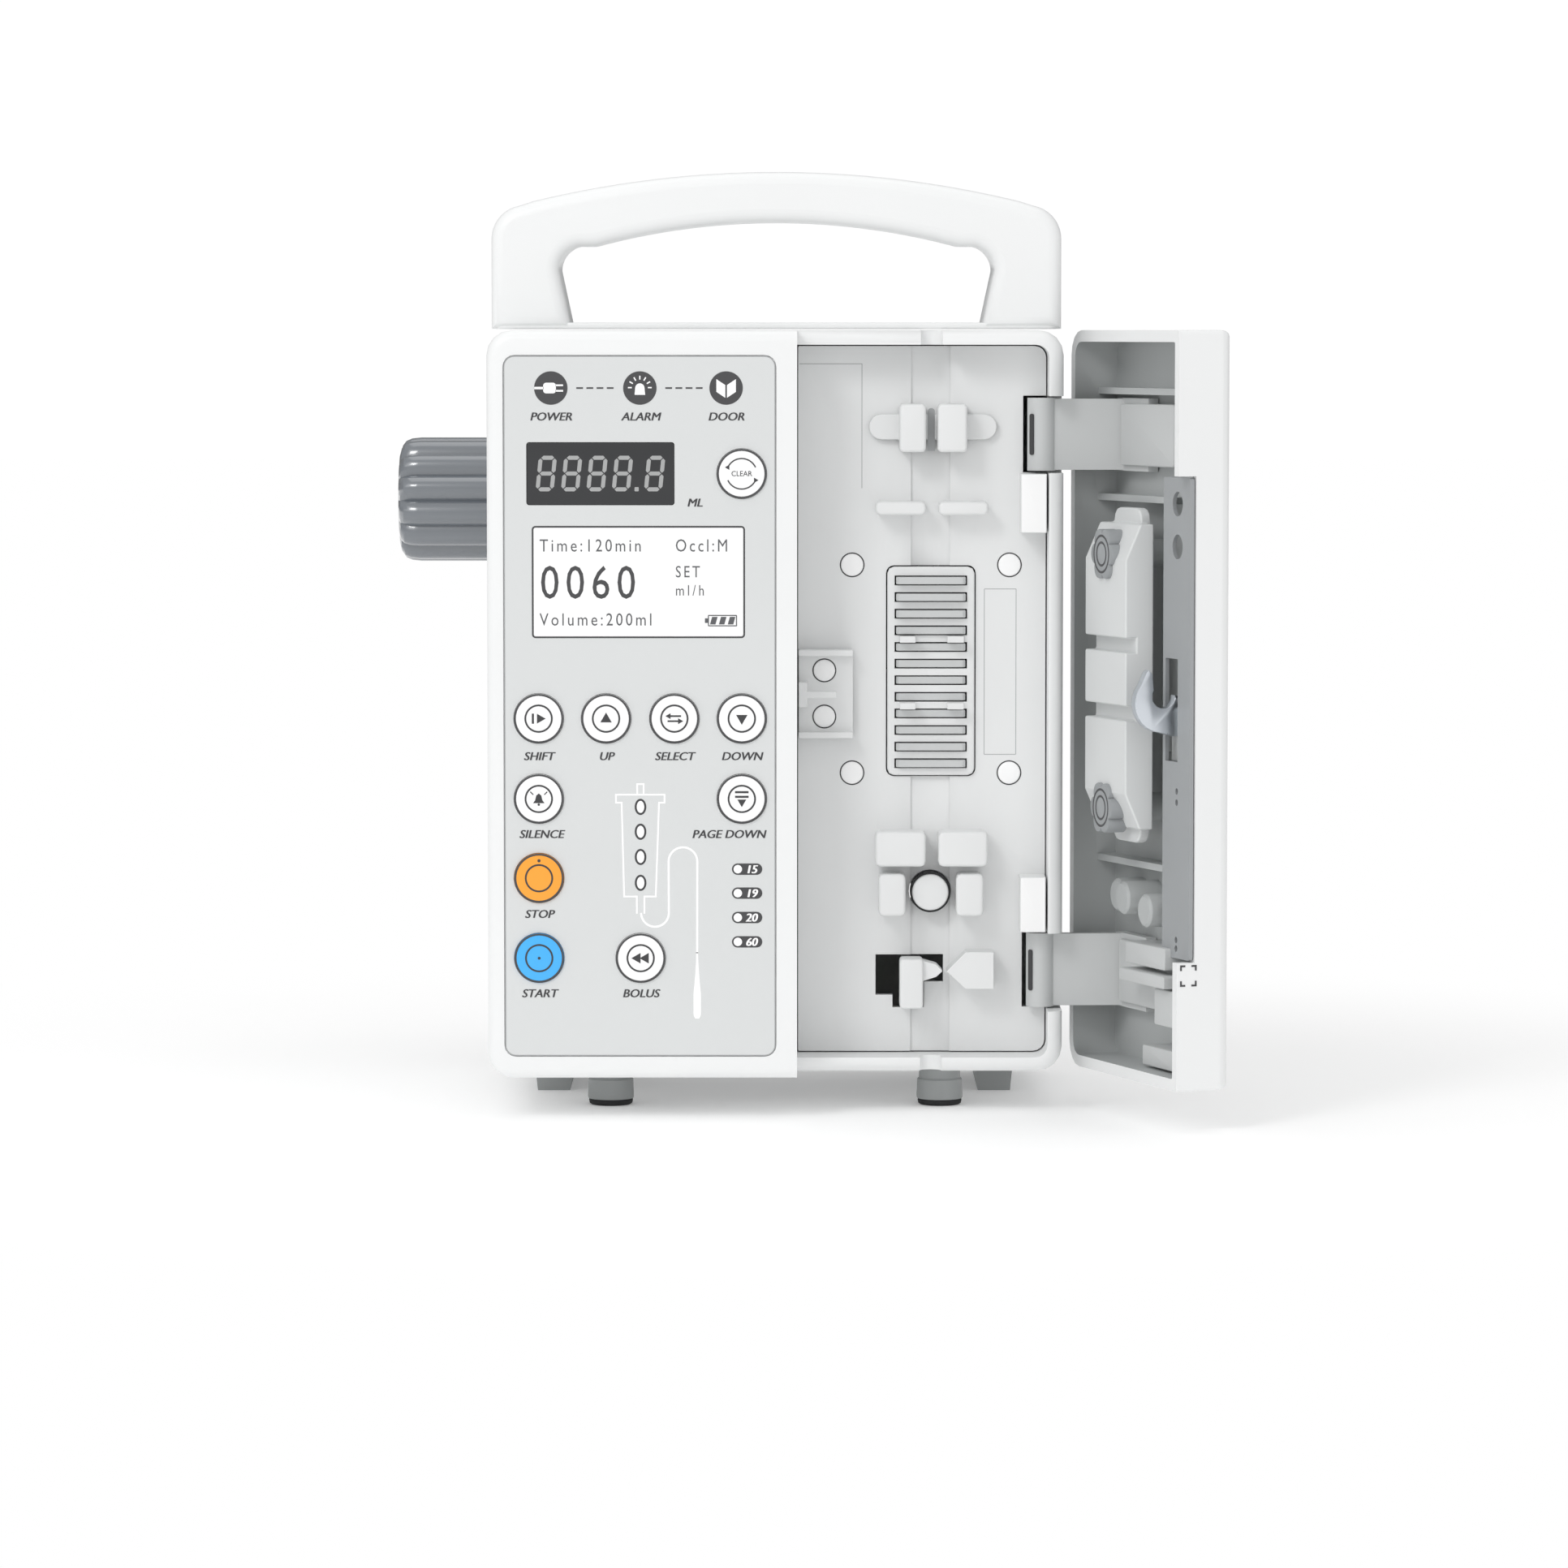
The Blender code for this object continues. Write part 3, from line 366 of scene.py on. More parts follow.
def bakedCurve(name, curve):
    holder = bpy.data.objects.new(name, curve)
    bpy.context.scene.collection.objects.link(holder)
    bpy.context.view_layer.update()
    graph = bpy.context.evaluated_depsgraph_get()
    mesh = bpy.data.meshes.new_from_object(holder.evaluated_get(graph))
    bpy.data.objects.remove(holder)
    points = np.empty(len(mesh.vertices) * 3)
    mesh.vertices.foreach_get("co", points)
    return mesh, points.reshape(-1, 3)


def flatPiece(name, loops, y, finish, body="pump_body", thick=0.08, inDoor=False, **more):
    # a flat piece facing the front: its back lies on the plane y
    mesh, points = flatMesh(name, loops, thick)
    return layFlat(name, mesh, points, y - thick / 2, finish, body, inDoor, **more)


def layFlat(name, mesh, points, y, finish, body, inDoor=False, **more):
    # stands a flat mesh upright with its middle on the plane y, which may curve
    laid = np.stack([points[:, 0], y - points[:, 2], points[:, 1]], -1)
    mesh.vertices.foreach_set("co", toWorld(laid, inDoor).ravel())
    recoat(mesh, finish)
    return finishPiece(name, mesh, body, **more)


def recoat(mesh, finish):
    mesh.materials.clear()
    mesh.materials.append(paint[finish])


def textPiece(
    name, words, x, z, size, y, finish, body="pump_body", lean=0.0, align="CENTER", wide=1.0,
    thick=0.06, spacing=1.0
):
    # generic lettering as a flat piece whose baseline starts or centres at (x, z)
    curve = bpy.data.curves.new(name, "FONT")
    curve.body = words
    curve.size = size
    curve.shear = lean
    curve.align_x = align
    curve.space_character = spacing
    curve.extrude = thick / 2
    curve.resolution_u = 3
    mesh, points = bakedCurve(name, curve)
    points[:, 0] = x + points[:, 0] * wide
    points[:, 1] += z
    return layFlat(name, mesh, points, y - thick / 2, finish, body, slot="key_white")


def softened(node, width, finish, segments=2, mostCorners=400):
    # a copy of a CAD node with its triangles merged back into faces and its edges rounded
    mesh = frame["nodes"][node].data.copy()
    shell = bmesh.new()
    shell.from_mesh(mesh)
    bmesh.ops.remove_doubles(shell, verts=shell.verts, dist=1e-6)
    bmesh.ops.dissolve_limit(shell, angle_limit=math.radians(1.0), verts=shell.verts, edges=shell.edges)
    # a face with too many corners is split again, because its holes would spoil the rounding
    holed = [face for face in shell.faces if len(face.verts) > mostCorners]
    bmesh.ops.triangulate(shell, faces=holed)
    shell.to_mesh(mesh)
    shell.free()
    recoat(mesh, finish)
    piece = finishPiece(node + "_shell", mesh, bodyOf[node], 32, (node,))
    bevel = piece.modifiers.new("rounded edges", "BEVEL")
    bevel.width = width * mm
    bevel.segments = segments
    bevel.limit_method = "ANGLE"
    bevel.angle_limit = math.radians(30)
    bevel.harden_normals = True
    bevel.use_clamp_overlap = True
    return piece


print("stage: camera, floor and light")


def facingTurn(way):
    # the turn that points a camera or lamp, which looks down its own -Z, along a direction
    return (math.atan2(math.hypot(way[0], way[1]), -way[2]), 0.0, math.atan2(-way[0], way[1]))


view = {
    "distance": 1550.0, "height": 187.5, "x": 0.65, "aim": (1.81, 0.0, 79.25), "acrossMm": 374.8,
    "sensor": 36.0,
}
eye = toWorld([[view["x"], -view["distance"], view["height"]]])[0]
aim = toWorld([view["aim"]])[0]
look = bpy.data.objects.new("camera", bpy.data.cameras.new("camera"))
look.data.sensor_width = view["sensor"]
look.data.lens = view["sensor"] * float(np.linalg.norm(aim - eye)) / (view["acrossMm"] * mm)
look.location = eye
look.rotation_euler = facingTurn(aim - eye)
look.data.clip_end = 50
bpy.context.scene.collection.objects.link(look)
bpy.context.scene.camera = look

# a matt floor lit a little from within, which fades to plain white away from the pump
ground = {"half": 8.0, "fadeFrom": 0.14, "fadeTo": 0.34, "glow": 0.13}
floorMesh = bpy.data.meshes.new("floor")
corners = [(x * ground["half"], y * ground["half"], 0) for x, y in ((-1, -1), (1, -1), (1, 1), (-1, 1))]
floorMesh.from_pydata(corners, [], [(0, 1, 2, 3)])
sweep = grained("studio_floor", "FFFFFF", 0.75, 5.0, 0.01, mottle=0.0)
tree = sweep.node_tree
place = addNode(tree, "ShaderNodeTexCoord")
away = addNode(tree, "ShaderNodeVectorMath", {"operation": "LENGTH"}, links={"Vector": (place, "Object")})
reach = {"From Min": ground["fadeFrom"], "From Max": ground["fadeTo"]}
smooth = {"interpolation_type": "SMOOTHSTEP"}
fade = addNode(tree, "ShaderNodeMapRange", smooth, reach, {"Value": (away, "Value")})
tree.nodes["Principled BSDF"].inputs["Emission Color"].default_value = (1, 1, 1, 1)
tree.nodes["Principled BSDF"].inputs["Emission Strength"].default_value = ground["glow"]
plain = addNode(tree, "ShaderNodeEmission", values={"Strength": 1.0})
both = addNode(tree, "ShaderNodeMixShader", links={"Fac": (fade, "Result")})
tree.links.new(tree.nodes["Principled BSDF"].outputs["BSDF"], both.inputs[1])
tree.links.new(plain.outputs["Emission"], both.inputs[2])
tree.links.new(both.outputs["Shader"], tree.nodes["Material Output"].inputs["Surface"])
floorMesh.materials.append(sweep)
floor = bpy.data.objects.new("floor", floorMesh)
bpy.context.scene.collection.objects.link(floor)

world = bpy.data.worlds.new("studio")
bpy.context.scene.world = world
world.use_nodes = True
# a soft box room: bright ahead and above, dimmer to the sides and behind, and plain white to the camera
room = {"low": 0.2, "high": 0.89, "toward": (-0.1, -0.78, 0.55)}
sky = world.node_tree.nodes["Background"]
tree = world.node_tree
place = addNode(tree, "ShaderNodeTexCoord")
dot = {"operation": "DOT_PRODUCT"}
facing = addNode(tree, "ShaderNodeVectorMath", dot, links={"Vector": (place, "Generated")})
facing.inputs[1].default_value = room["toward"]
levels = {"From Min": -0.6, "From Max": 0.8, "To Min": room["low"], "To Max": room["high"]}
glow = addNode(tree, "ShaderNodeMapRange", values=levels, links={"Value": (facing, "Value")})
rays = addNode(tree, "ShaderNodeLightPath")
split = {"Factor": (rays, "Is Camera Ray"), "A": (glow, "Result")}
shown = addNode(tree, "ShaderNodeMix", {"data_type": "FLOAT"}, {"B": 1.02}, split)
tree.links.new(shown.outputs["Result"], sky.inputs["Strength"])
sky.inputs["Color"].default_value = (1, 1, 1, 1)
bpy.context.scene.view_settings.view_transform = "Standard"

lamps = {
    "key": {"at": (-0.9, -1.3, 1.1), "aim": (0, 0, 0.1), "size": 0.9, "watts": 2.2},
    "side": {"at": (-0.6, -1.1, 0.95), "aim": (-0.08, 0.05, 0.14), "size": 0.35, "watts": 3.2},
    "top": {"at": (0.0, 0.3, 1.9), "aim": (0, 0, 0), "size": 1.6, "watts": 6.5},
}
for name, lamp in lamps.items():
    light = bpy.data.lights.new(name, "AREA")
    light.shape = "SQUARE"
    light.size = lamp["size"]
    light.energy = lamp["watts"]
    holder = bpy.data.objects.new(name, light)
    holder.location = lamp["at"]
    way = np.array(lamp["aim"], float) - np.array(lamp["at"], float)
    holder.rotation_euler = facingTurn(way)
    bpy.context.scene.collection.objects.link(holder)

print("stage: housings and covers")
# how far each node's edges are rounded, in mm, and its finish
rounding = {
    "front_housing": (0.45, "casing"), "rear_housing": (0.45, "casing"), "finger_window": (0.2, "bay"),
    "bubble_detector": (0.3, "bay"), "latch_striker": (0.25, "bay"), "flow_clamp_jaw": (0.3, "bay"),
    "hinge_arm_upper": (0.35, "tray"), "hinge_arm_lower": (0.35, "tray"), "platen": (0.5, "platen"),
    "clamp_bracket": (0.6, "knob"), "clamp_pad": (0.5, "rubber"), "mains_inlet": (0.3, "blackNylon"),
    "latch_lever": (0.3, "tray"),
}
for number in range(12):
    rounding[f"finger_{number + 1:02}"] = (0.2, "tray")
for node, (width, finish) in rounding.items():
    softened(node, width, finish)
doorShell = softened("door_shell", 0.4, "casing")
softened("bay_plate", 0.35, "bay", mostCorners=12)
softened("door_latch_plate", 0.12, "plate", segments=1)


def shadeInside(piece, box, finish):
    # faces of a closed-door piece whose middles lie inside the box take the second finish; used to paint
    # shade into the door's cavity
    mesh = piece.data
    count = len(mesh.polygons)
    middle = np.empty(count * 3)
    mesh.polygons.foreach_get("center", middle)
    drawn = middle.reshape(-1, 3) / mm - home
    c, s = math.cos(doorTurn), math.sin(doorTurn)
    x, y = drawn[:, 0] - hinge[0], drawn[:, 1] - hinge[1]
    closed = np.stack([hinge[0] + c * x + s * y, hinge[1] - s * x + c * y, drawn[:, 2]], -1)
    inside = np.all((closed > box[0]) & (closed < box[1]), axis=1)
    mesh.materials.append(paint[finish])
    mesh.polygons.foreach_set("material_index", inside.astype(np.int32))


# painted shade: the door's cavity faces take a darker grey
shadeInside(doorShell, ((7.0, -13.2, 12.6), (67.4, -0.6, 185.1)), "doorCavityShade")

carried = {
    "front_board": "board", "main_board": "board", "battery_pack": "blackNylon", "power_supply": "aluminium",
    "pump_frame": "aluminium", "stepper_motor": "blackNylon", "clamp_bush": "steel",
    "camshaft": "steel", "motor_pulley": "aluminium", "timing_belt": "beltRubber",
    "rear_foot_left": "footGrey",
    "rear_foot_right": "footGrey",
}
for node, finish in carried.items():
    recoat(frame["nodes"][node].data, finish)

print("stage: carry handle")
# one closed outline of arcs, given its thickness and its rolled edges by a bevelled flat curve
handle = {
    "half": 68.0, "foot": 187.8, "corner": 8.0, "topArc": 246.0, "crown": 225.1,
    "innerFoot": 48.9, "innerSide": 51.9,
    "innerCorner": 6.0, "innerArc": 168.0, "innerCrown": 213.3, "near": 4.0, "far": 34.0, "roll": 2.9,
}


def arcPoints(x, z, radius, start, end, steps):
    angle = np.radians(np.linspace(start, end, steps))
    return np.stack([x + radius * np.cos(angle), z + radius * np.sin(angle)], -1)


outside = arcPoints(handle["half"] - handle["corner"], 209.2, handle["corner"], 0, 80, 10)


def archPoints(x, crown, radius):
    # a flat arc through its highest point on the middle line: z falls by the circle's sagitta at x
    return np.stack([x, crown - radius + np.sqrt(radius**2 - x**2)], -1)


crown = archPoints(np.linspace(58, 0, 24, endpoint=False), handle["crown"], handle["topArc"])
ceiling = archPoints(np.linspace(0, 43.5, 18), handle["innerCrown"], handle["innerArc"])
cornerZ = ceiling[-1, 1] - handle["innerCorner"] * 0.97
inside = arcPoints(handle["innerSide"] - handle["innerCorner"], cornerZ, handle["innerCorner"], 76, 0, 10)
right = np.concatenate([[(handle["half"], handle["foot"])], outside, crown])
innerRight = np.concatenate([ceiling, inside, [(handle["innerFoot"], handle["foot"])]])
mirror = np.array([-1.0, 1.0])
outline = np.concatenate([right, right[::-1] * mirror, innerRight[::-1][:-1] * mirror, innerRight])
curve = bpy.data.curves.new("carry_handle_arch", "CURVE")
curve.dimensions = "2D"
curve.fill_mode = "BOTH"
curve.bevel_depth = handle["roll"]
curve.bevel_resolution = 5
curve.offset = -handle["roll"]
curve.extrude = (handle["far"] - handle["near"]) / 2 - handle["roll"]
closedSpline(curve, outline)
mesh, points = bakedCurve("carry_handle_arch", curve)
middle = (handle["near"] + handle["far"]) / 2
layFlat(
    "carry_handle_arch", mesh, points, middle, "casing", "pump_body", replaces=("carry_handle",), smooth=50
)
base = ((-67.4, 5.0, 187.75), (67.4, 33.0, 189.3))
boxPiece("carry_handle_base", *base, 2.5, 0.5, "casing", "pump_body", axis=2, slot="casing")

print("stage: panel sheet and displays")
keyNames = ("clear", "shift", "up", "select", "down", "silence", "page_down", "stop", "start", "bolus")
keyColours = {"stop": "keyOrange", "start": "keyBlue"}


def middleOf(node):
    low, high = boxOf(node)
    return (low[0] + high[0]) / 2, (low[2] + high[2]) / 2


keyRadius = 5.86
sheetLow, sheetHigh = boxOf("keypad_overlay")
ledLow, ledHigh = boxOf("led_display")
lcdLow, lcdHigh = boxOf("lcd_display")
sheet = {"corner": 2.5, "keyGap": 0.12, "windowGap": 0.05, "thick": 0.45}
loops = [roundRect(sheetLow[0], sheetHigh[0], sheetLow[2], sheetHigh[2], sheet["corner"])]
for low, high in ((ledLow, ledHigh), (lcdLow, lcdHigh)):
    gap = sheet["windowGap"]
    loops.append(roundRect(low[0] - gap, high[0] + gap, low[2] - gap, high[2] + gap, 0.7))
for key in keyNames:
    x, z = middleOf("key_" + key)
    loops.append(circle(x, z, keyRadius + sheet["keyGap"], 64))
flatPiece(
    "keypad_overlay_sheet", loops, sheetHigh[1], "overlay", thick=sheet["thick"],
    replaces=("keypad_overlay",),
)
edgeY = panelY - 0.005
# painted shade: a faint grey line just outside the sheet, where its edge steps down to the casing
loops = borderLoops(sheetLow, sheetHigh, 0.02, 2.5, 0.16)
flatPiece("keypad_overlay_edge_shade", loops, edgeY, "grooveShade", thick=0.03, slot="overlay")
boxPiece("led_display_window", ledLow, ledHigh, 0.7, 0.25, "smoked", "pump_body", replaces=("led_display",))
boxPiece(
    "lcd_display_window", lcdLow, lcdHigh, 0.9, 0.2, "lcdGlass", "pump_body", replaces=("lcd_display",)
)

digit = {
    "low": 149.5, "high": 157.9, "wide": 4.3, "pitch": 6.0, "first": -56.9, "stroke": 0.95,
    "lean": 0.1, "gap": 0.16,
}


def segmentLoops(x):
    # seven six-sided bars of a slanted figure
    low, high, gap, half = digit["low"], digit["high"], digit["gap"], digit["stroke"] / 2
    middle = (low + high) / 2
    left, right = x + half, x + digit["wide"] - half
    loops = []
    for z in (low + half, middle, high - half):
        a, b = left + gap, right - gap
        loops.append(
            [
                (a, z), (a + half, z + half), (b - half, z + half), (b, z), (b - half, z - half),
                (a + half, z - half),
            ]
        )
    for u in (left, right):
        for a, b in ((low + half + gap, middle - gap), (middle + gap, high - half - gap)):
            loops.append(
                [
                    (u, a), (u + half, a + half), (u + half, b - half), (u, b), (u - half, b - half),
                    (u - half, a + half),
                ]
            )
    return [np.array([(px + digit["lean"] * (pz - low), pz) for px, pz in loop]) for loop in loops]


loops = []
for number in range(5):
    x = digit["first"] + number * digit["pitch"] + (1.6 if number == 4 else 0.0)
    loops += segmentLoops(x)
dotX = digit["first"] + 4 * digit["pitch"] - 0.6
loops.append(roundRect(dotX, dotX + 1.0, digit["low"], digit["low"] + 1.0, 0.2))
flatPiece("led_display_digits", loops, ledLow[1] + 0.01, "segment", thick=0.05, slot="light_window")

lcdFace = lcdLow[1]
loops = borderLoops(lcdLow, lcdHigh, 0.1, 0.9, 0.42)
flatPiece("lcd_display_border", loops, lcdFace + 0.01, "inkDark", thick=0.06, slot="overlay")
lcdWords = {
    "time": ("Time:120min", -56.0, 135.3, 4.2, 0.83, 1.33),
    "limit": ("Occl:M", -23.9, 135.3, 4.2, 0.8, 1.32),
    "rate": ("0060", -55.9, 124.2, 11.2, 0.84, 1.28),
    "mode": ("SET", -23.9, 129.2, 3.9, 0.8, 1.32),
    "unit": ("ml/h", -23.9, 124.9, 3.6, 0.8, 1.42),
    "volume": ("Volume:200ml", -56.0, 117.8, 4.2, 0.83, 1.33),
}
for name, (words, x, z, size, wide, spacing) in lcdWords.items():
    ink = "inkDark" if name == "rate" else "lcdInk"
    look = {"align": "LEFT", "wide": wide, "thick": 0.04, "spacing": spacing}
    textPiece(f"lcd_{name}_text", words, x, z, size, lcdFace + 0.01, ink, **look)
cell = {"left": -16.2, "low": 117.6, "wide": 6.9, "high": 2.7}
x, z = cell["left"], cell["low"]
loops = frameLoops(x, x + cell["wide"], z, z + cell["high"], 0.2, 0.25)
loops.append(roundRect(x - 0.7, x, z + 0.8, z + 1.9, 0.1))
for number in range(3):
    x = cell["left"] + 0.5 + number * 2.1
    loops.append(np.array([(x, z + 0.45), (x + 1.3, z + 0.45), (x + 1.8, z + 2.25), (x + 0.5, z + 2.25)]))
flatPiece("lcd_battery_mark", loops, lcdFace + 0.01, "lcdInk", thick=0.04, slot="overlay")

print("stage: keys")
keyCap = {"ringWidth": 0.45, "innerRing": 3.35, "innerWidth": 0.42, "dome": 0.28}
keyFront = boxOf("key_clear")[0][1]
keyBack = boxOf("key_clear")[1][1]


def keyProfile():
    # from the shallow domed face back over the rolled rim to the flange and the stem
    share = np.linspace(0.02, 1.0, 8)
    face = [(keyFront + keyCap["dome"] * s**2, 0.93 * keyRadius * s) for s in share]
    edge = keyFront + keyCap["dome"]
    turn = np.linspace(0.3, np.pi / 2, 4)
    rim = [(edge + 0.4 * (1 - math.cos(t)), keyRadius * (0.93 + 0.07 * math.sin(t))) for t in turn]
    return face + rim + [(-11.0, keyRadius), (-11.0, 6.6), (-10.2, 6.6), (-10.2, 2.0), (keyBack, 2.0)]


def keyPrint(name, loops, x, z, finish, body):
    # a flat print laid on the key's dome: each point goes back by the dome's depth at its radius
    mesh, points = flatMesh(name, loops, 0.06)
    share = np.hypot(points[:, 0] - x, points[:, 1] - z) / (0.93 * keyRadius)
    y = keyFront + keyCap["dome"] * np.minimum(share, 1.08) ** 2 - 0.015
    return layFlat(name, mesh, points, y, finish, body, slot="key_white")


def arrow(x, z, size, way):
    # a triangle that points left, right, up or down
    turn = {"right": 0, "up": 90, "left": 180, "down": 270}[way]
    corners = [
        (math.cos(math.radians(turn + k * 120)), math.sin(math.radians(turn + k * 120))) for k in range(3)
    ]
    return np.array([(x + size * a, z + size * b) for a, b in corners])


def bar(left, right, low, high):
    return np.array([(left, low), (right, low), (right, high), (left, high)])


def arcStroke(x, z, radius, start, end, width, steps=24):
    angle = np.radians(np.linspace(start, end, steps))
    return stroke(np.stack([x + radius * np.cos(angle), z + radius * np.sin(angle)], -1), width)


def keyMarks(key, x, z):
    if key == "shift":
        return [bar(x - 1.6, x - 1.1, z - 1.2, z + 1.2), arrow(x + 0.3, z, 1.35, "right")]
    if key == "up":
        return [arrow(x, z - 0.1, 1.55, "up")]
    if key == "down":
        return [arrow(x, z + 0.1, 1.55, "down")]
    if key == "select":
        return [
            bar(x - 1.1, x + 1.6, z + 0.4, z + 0.8), arrow(x - 1.3, z + 0.6, 0.8, "left"),
            bar(x - 1.6, x + 1.1, z - 0.8, z - 0.4), arrow(x + 1.3, z - 0.6, 0.8, "right"),
        ]
    if key == "page_down":
        lines = [bar(x - 1.6, x + 1.6, z + low, z + low + 0.5) for low in (1.35, 0.25)]
        return lines + [arrow(x, z - 0.75, 1.2, "down")]
    if key == "silence":
        bell = [(-1.35, -1.0), (1.35, -1.0), (0.85, -0.3), (0.6, 0.8), (0, 1.3), (-0.6, 0.8), (-0.85, -0.3)]
        slashes = [[(-2.0, 1.7), (-1.3, 1.0)], [(1.3, 1.0), (2.0, 1.7)]]
        marks = [(x + a, z + b) for a, b in bell], circle(x, z - 1.35, 0.3, 12)
        return [np.array(marks[0]), marks[1]] + [
            stroke([(x + a, z + b) for a, b in path], 0.25) for path in slashes
        ]
    if key == "bolus":
        return [arrow(x - 0.75, z, 1.45, "left"), arrow(x + 1.2, z, 1.45, "left")]
    if key == "start":
        return [circle(x, z, 0.35, 16)]
    return []


for key in keyNames:
    node = "key_" + key
    x, z = middleOf(node)
    body = bodyOf[node]
    finish = keyColours.get(key, "keyWhite")
    turnedPiece(node + "_cap", "Y", (x, z), keyProfile(), finish, body, 64, smooth=50, replaces=(node,))
    loops = ringLoops(x, z, keyRadius - 0.02, keyCap["ringWidth"])
    keyPrint(node + "_rim_ring", loops, x, z, "inkDark", body)
    if key == "clear":
        for part, (start, end) in enumerate(((25, 155), (205, 335))):
            tip = math.radians(end)
            arc = arcStroke(x, z, 3.6, start, end, 0.32)
            way = "left" if part == 0 else "right"
            head = arrow(x + 3.6 * math.cos(tip), z + 3.6 * math.sin(tip), 0.7, way)
            keyPrint(f"key_clear_arc_{part}", [arc], x, z, "inkText", body)
            keyPrint(f"key_clear_arc_head_{part}", [head], x, z, "inkText", body)
    else:
        loops = ringLoops(x, z, keyCap["innerRing"], keyCap["innerWidth"])
        keyPrint(node + "_inner_ring", loops, x, z, "inkText", body)
    if key == "stop":
        keyPrint("key_stop_dot", [circle(x, z + 4.15, 0.38, 16)], x, z, "inkText", body)
    for part, loop in enumerate(keyMarks(key, x, z)):
        keyPrint(f"{node}_mark_{part}", [loop], x, z, "inkText", body)
x, z = middleOf("key_clear")
textPiece(
    "key_clear_text", "CLEAR", x, z - 0.55, 1.75, keyFront + 0.02, "inkText", bodyOf["key_clear"], wide=0.95
)

print("stage: panel printing")
printY = panelY + 0.01
symbolY = printY - 0.055
labels = {
    "power": ("POWER", -53.2, 166.2), "alarm": ("ALARM", -32.0, 166.2), "door": ("DOOR", -11.85, 166.2),
    "shift": ("SHIFT", -56.26, 85.9), "up": ("UP", -40.3, 85.9), "select": (
        "SELECT", -24.15, 85.9
    ), "down": ("DOWN", -8.19, 85.9),
    "silence": ("SILENCE", -55.7, 67.4), "page_down": ("PAGE DOWN", -11.3, 67.4), "stop": (
        "STOP", -56.26, 48.4
    ),
    "start": ("START", -56.26, 29.5), "bolus": ("BOLUS", -32.2, 29.5), "unit": ("ML", -19.3, 145.9),
}


def darkPrint(name, loops, thick=0.06):
    flatPiece(name, loops, printY, "inkDark", thick=thick, slot="dark_window")


def whitePrint(name, loops, y=symbolY, thick=0.04):
    flatPiece(name, loops, y, "inkWhite", thick=thick, slot="light_window")


def struckTwice(name, words, x, z, size, y, finish, apart, **more):
    # heavier lettering: the same words twice, a hair's breadth apart
    for part, shift in enumerate((-apart / 2, apart / 2)):
        textPiece(f"{name}_{part}", words, x + shift, z, size, y - 0.004 * part, finish, **more)


for name, (words, x, z) in labels.items():
    struckTwice(f"label_{name}", words, x, z, 2.75, printY, "inkText", 0.16, lean=0.22, wide=1.04)

lampZ, lampRadius = 173.85, 3.94
lampXs = {"power": -53.2, "alarm": -32.2, "door": -11.85}
for name, x in lampXs.items():
    darkPrint(f"lamp_{name}_disc", [circle(x, lampZ, lampRadius, 64)])
x = lampXs["power"]
whitePrint("lamp_power_plug", [roundRect(x - 1.8, x + 1.2, lampZ - 1.25, lampZ + 1.25, 0.7)])
whitePrint("lamp_power_lead", [bar(x - 3.9, x - 1.7, lampZ - 0.28, lampZ + 0.28)])
pins = [
    bar(x + 1.1, x + 2.9, lampZ + 0.45, lampZ + 0.85), bar(x + 1.1, x + 2.9, lampZ - 0.85, lampZ - 0.45)
]
whitePrint("lamp_power_pins", pins)
x = lampXs["alarm"]
dome = np.concatenate(
    [[(x - 1.25, lampZ - 1.6)], [(x + 1.25, lampZ - 1.6)], circle(x, lampZ, 1.1, 24)[:13]]
)
whitePrint("lamp_alarm_dome", [dome])
rays = []
for turn in range(7):
    angle = math.radians(180 * turn / 6)
    rays.append(
        stroke([(x + r * math.cos(angle), lampZ + 0.1 + r * math.sin(angle)) for r in (1.9, 2.8)], 0.3)
    )
whitePrint("lamp_alarm_rays", rays)
x = lampXs["door"]
for part, side in enumerate((-1, 1)):
    leaf = [(0.2, -2.3), (2.3, -0.9), (2.3, 2.1), (0.2, 0.7)]
    whitePrint(f"lamp_door_leaf_{part}", [np.array([(x + side * a, lampZ + b) for a, b in leaf])])
dashes = []
for start in (-47.2, -26.2):
    for number in range(4):
        x = start + number * 2.4
        dashes.append(bar(x, x + 1.6, lampZ - 0.19, lampZ + 0.19))
darkPrint("lamp_dashes", dashes, 0.05)

pills = {
    "left": -10.55, "right": -3.35, "tall": 2.7, "rows": {60.0: "15", 54.3: "19", 48.5: "20", 42.7: "60"}
}
x, half = pills["left"], pills["tall"] / 2
for row, (z, figures) in enumerate(pills["rows"].items()):
    darkPrint(f"drop_pill_{row}", [roundRect(x, pills["right"], z - half, z + half, half - 0.01)])
    whitePrint(f"drop_pill_dot_{row}", [circle(x + 1.4, z, 1.0, 32)])
    struckTwice(
        f"drop_pill_text_{row}", figures, x + 4.6, z - 0.95, 2.75, symbolY, "inkWhite", 0.22, lean=0.2
    )

print("stage: drip chamber drawing")
mid = -32.2


def linePiece(name, path, width=0.42):
    whitePrint(name, [stroke(path, width)], printY, 0.05)


def densePath(corners, step=0.4):
    # points at even steps along the straight runs between the corners
    corners = np.array(corners, float)
    parts = []
    for a, b in zip(corners, corners[1:]):
        count = max(int(np.linalg.norm(b - a) / step), 1)
        parts.append(a + (b - a) * np.linspace(0, 1, count, endpoint=False)[:, None])
    return np.concatenate(parts + [corners[-1:]])


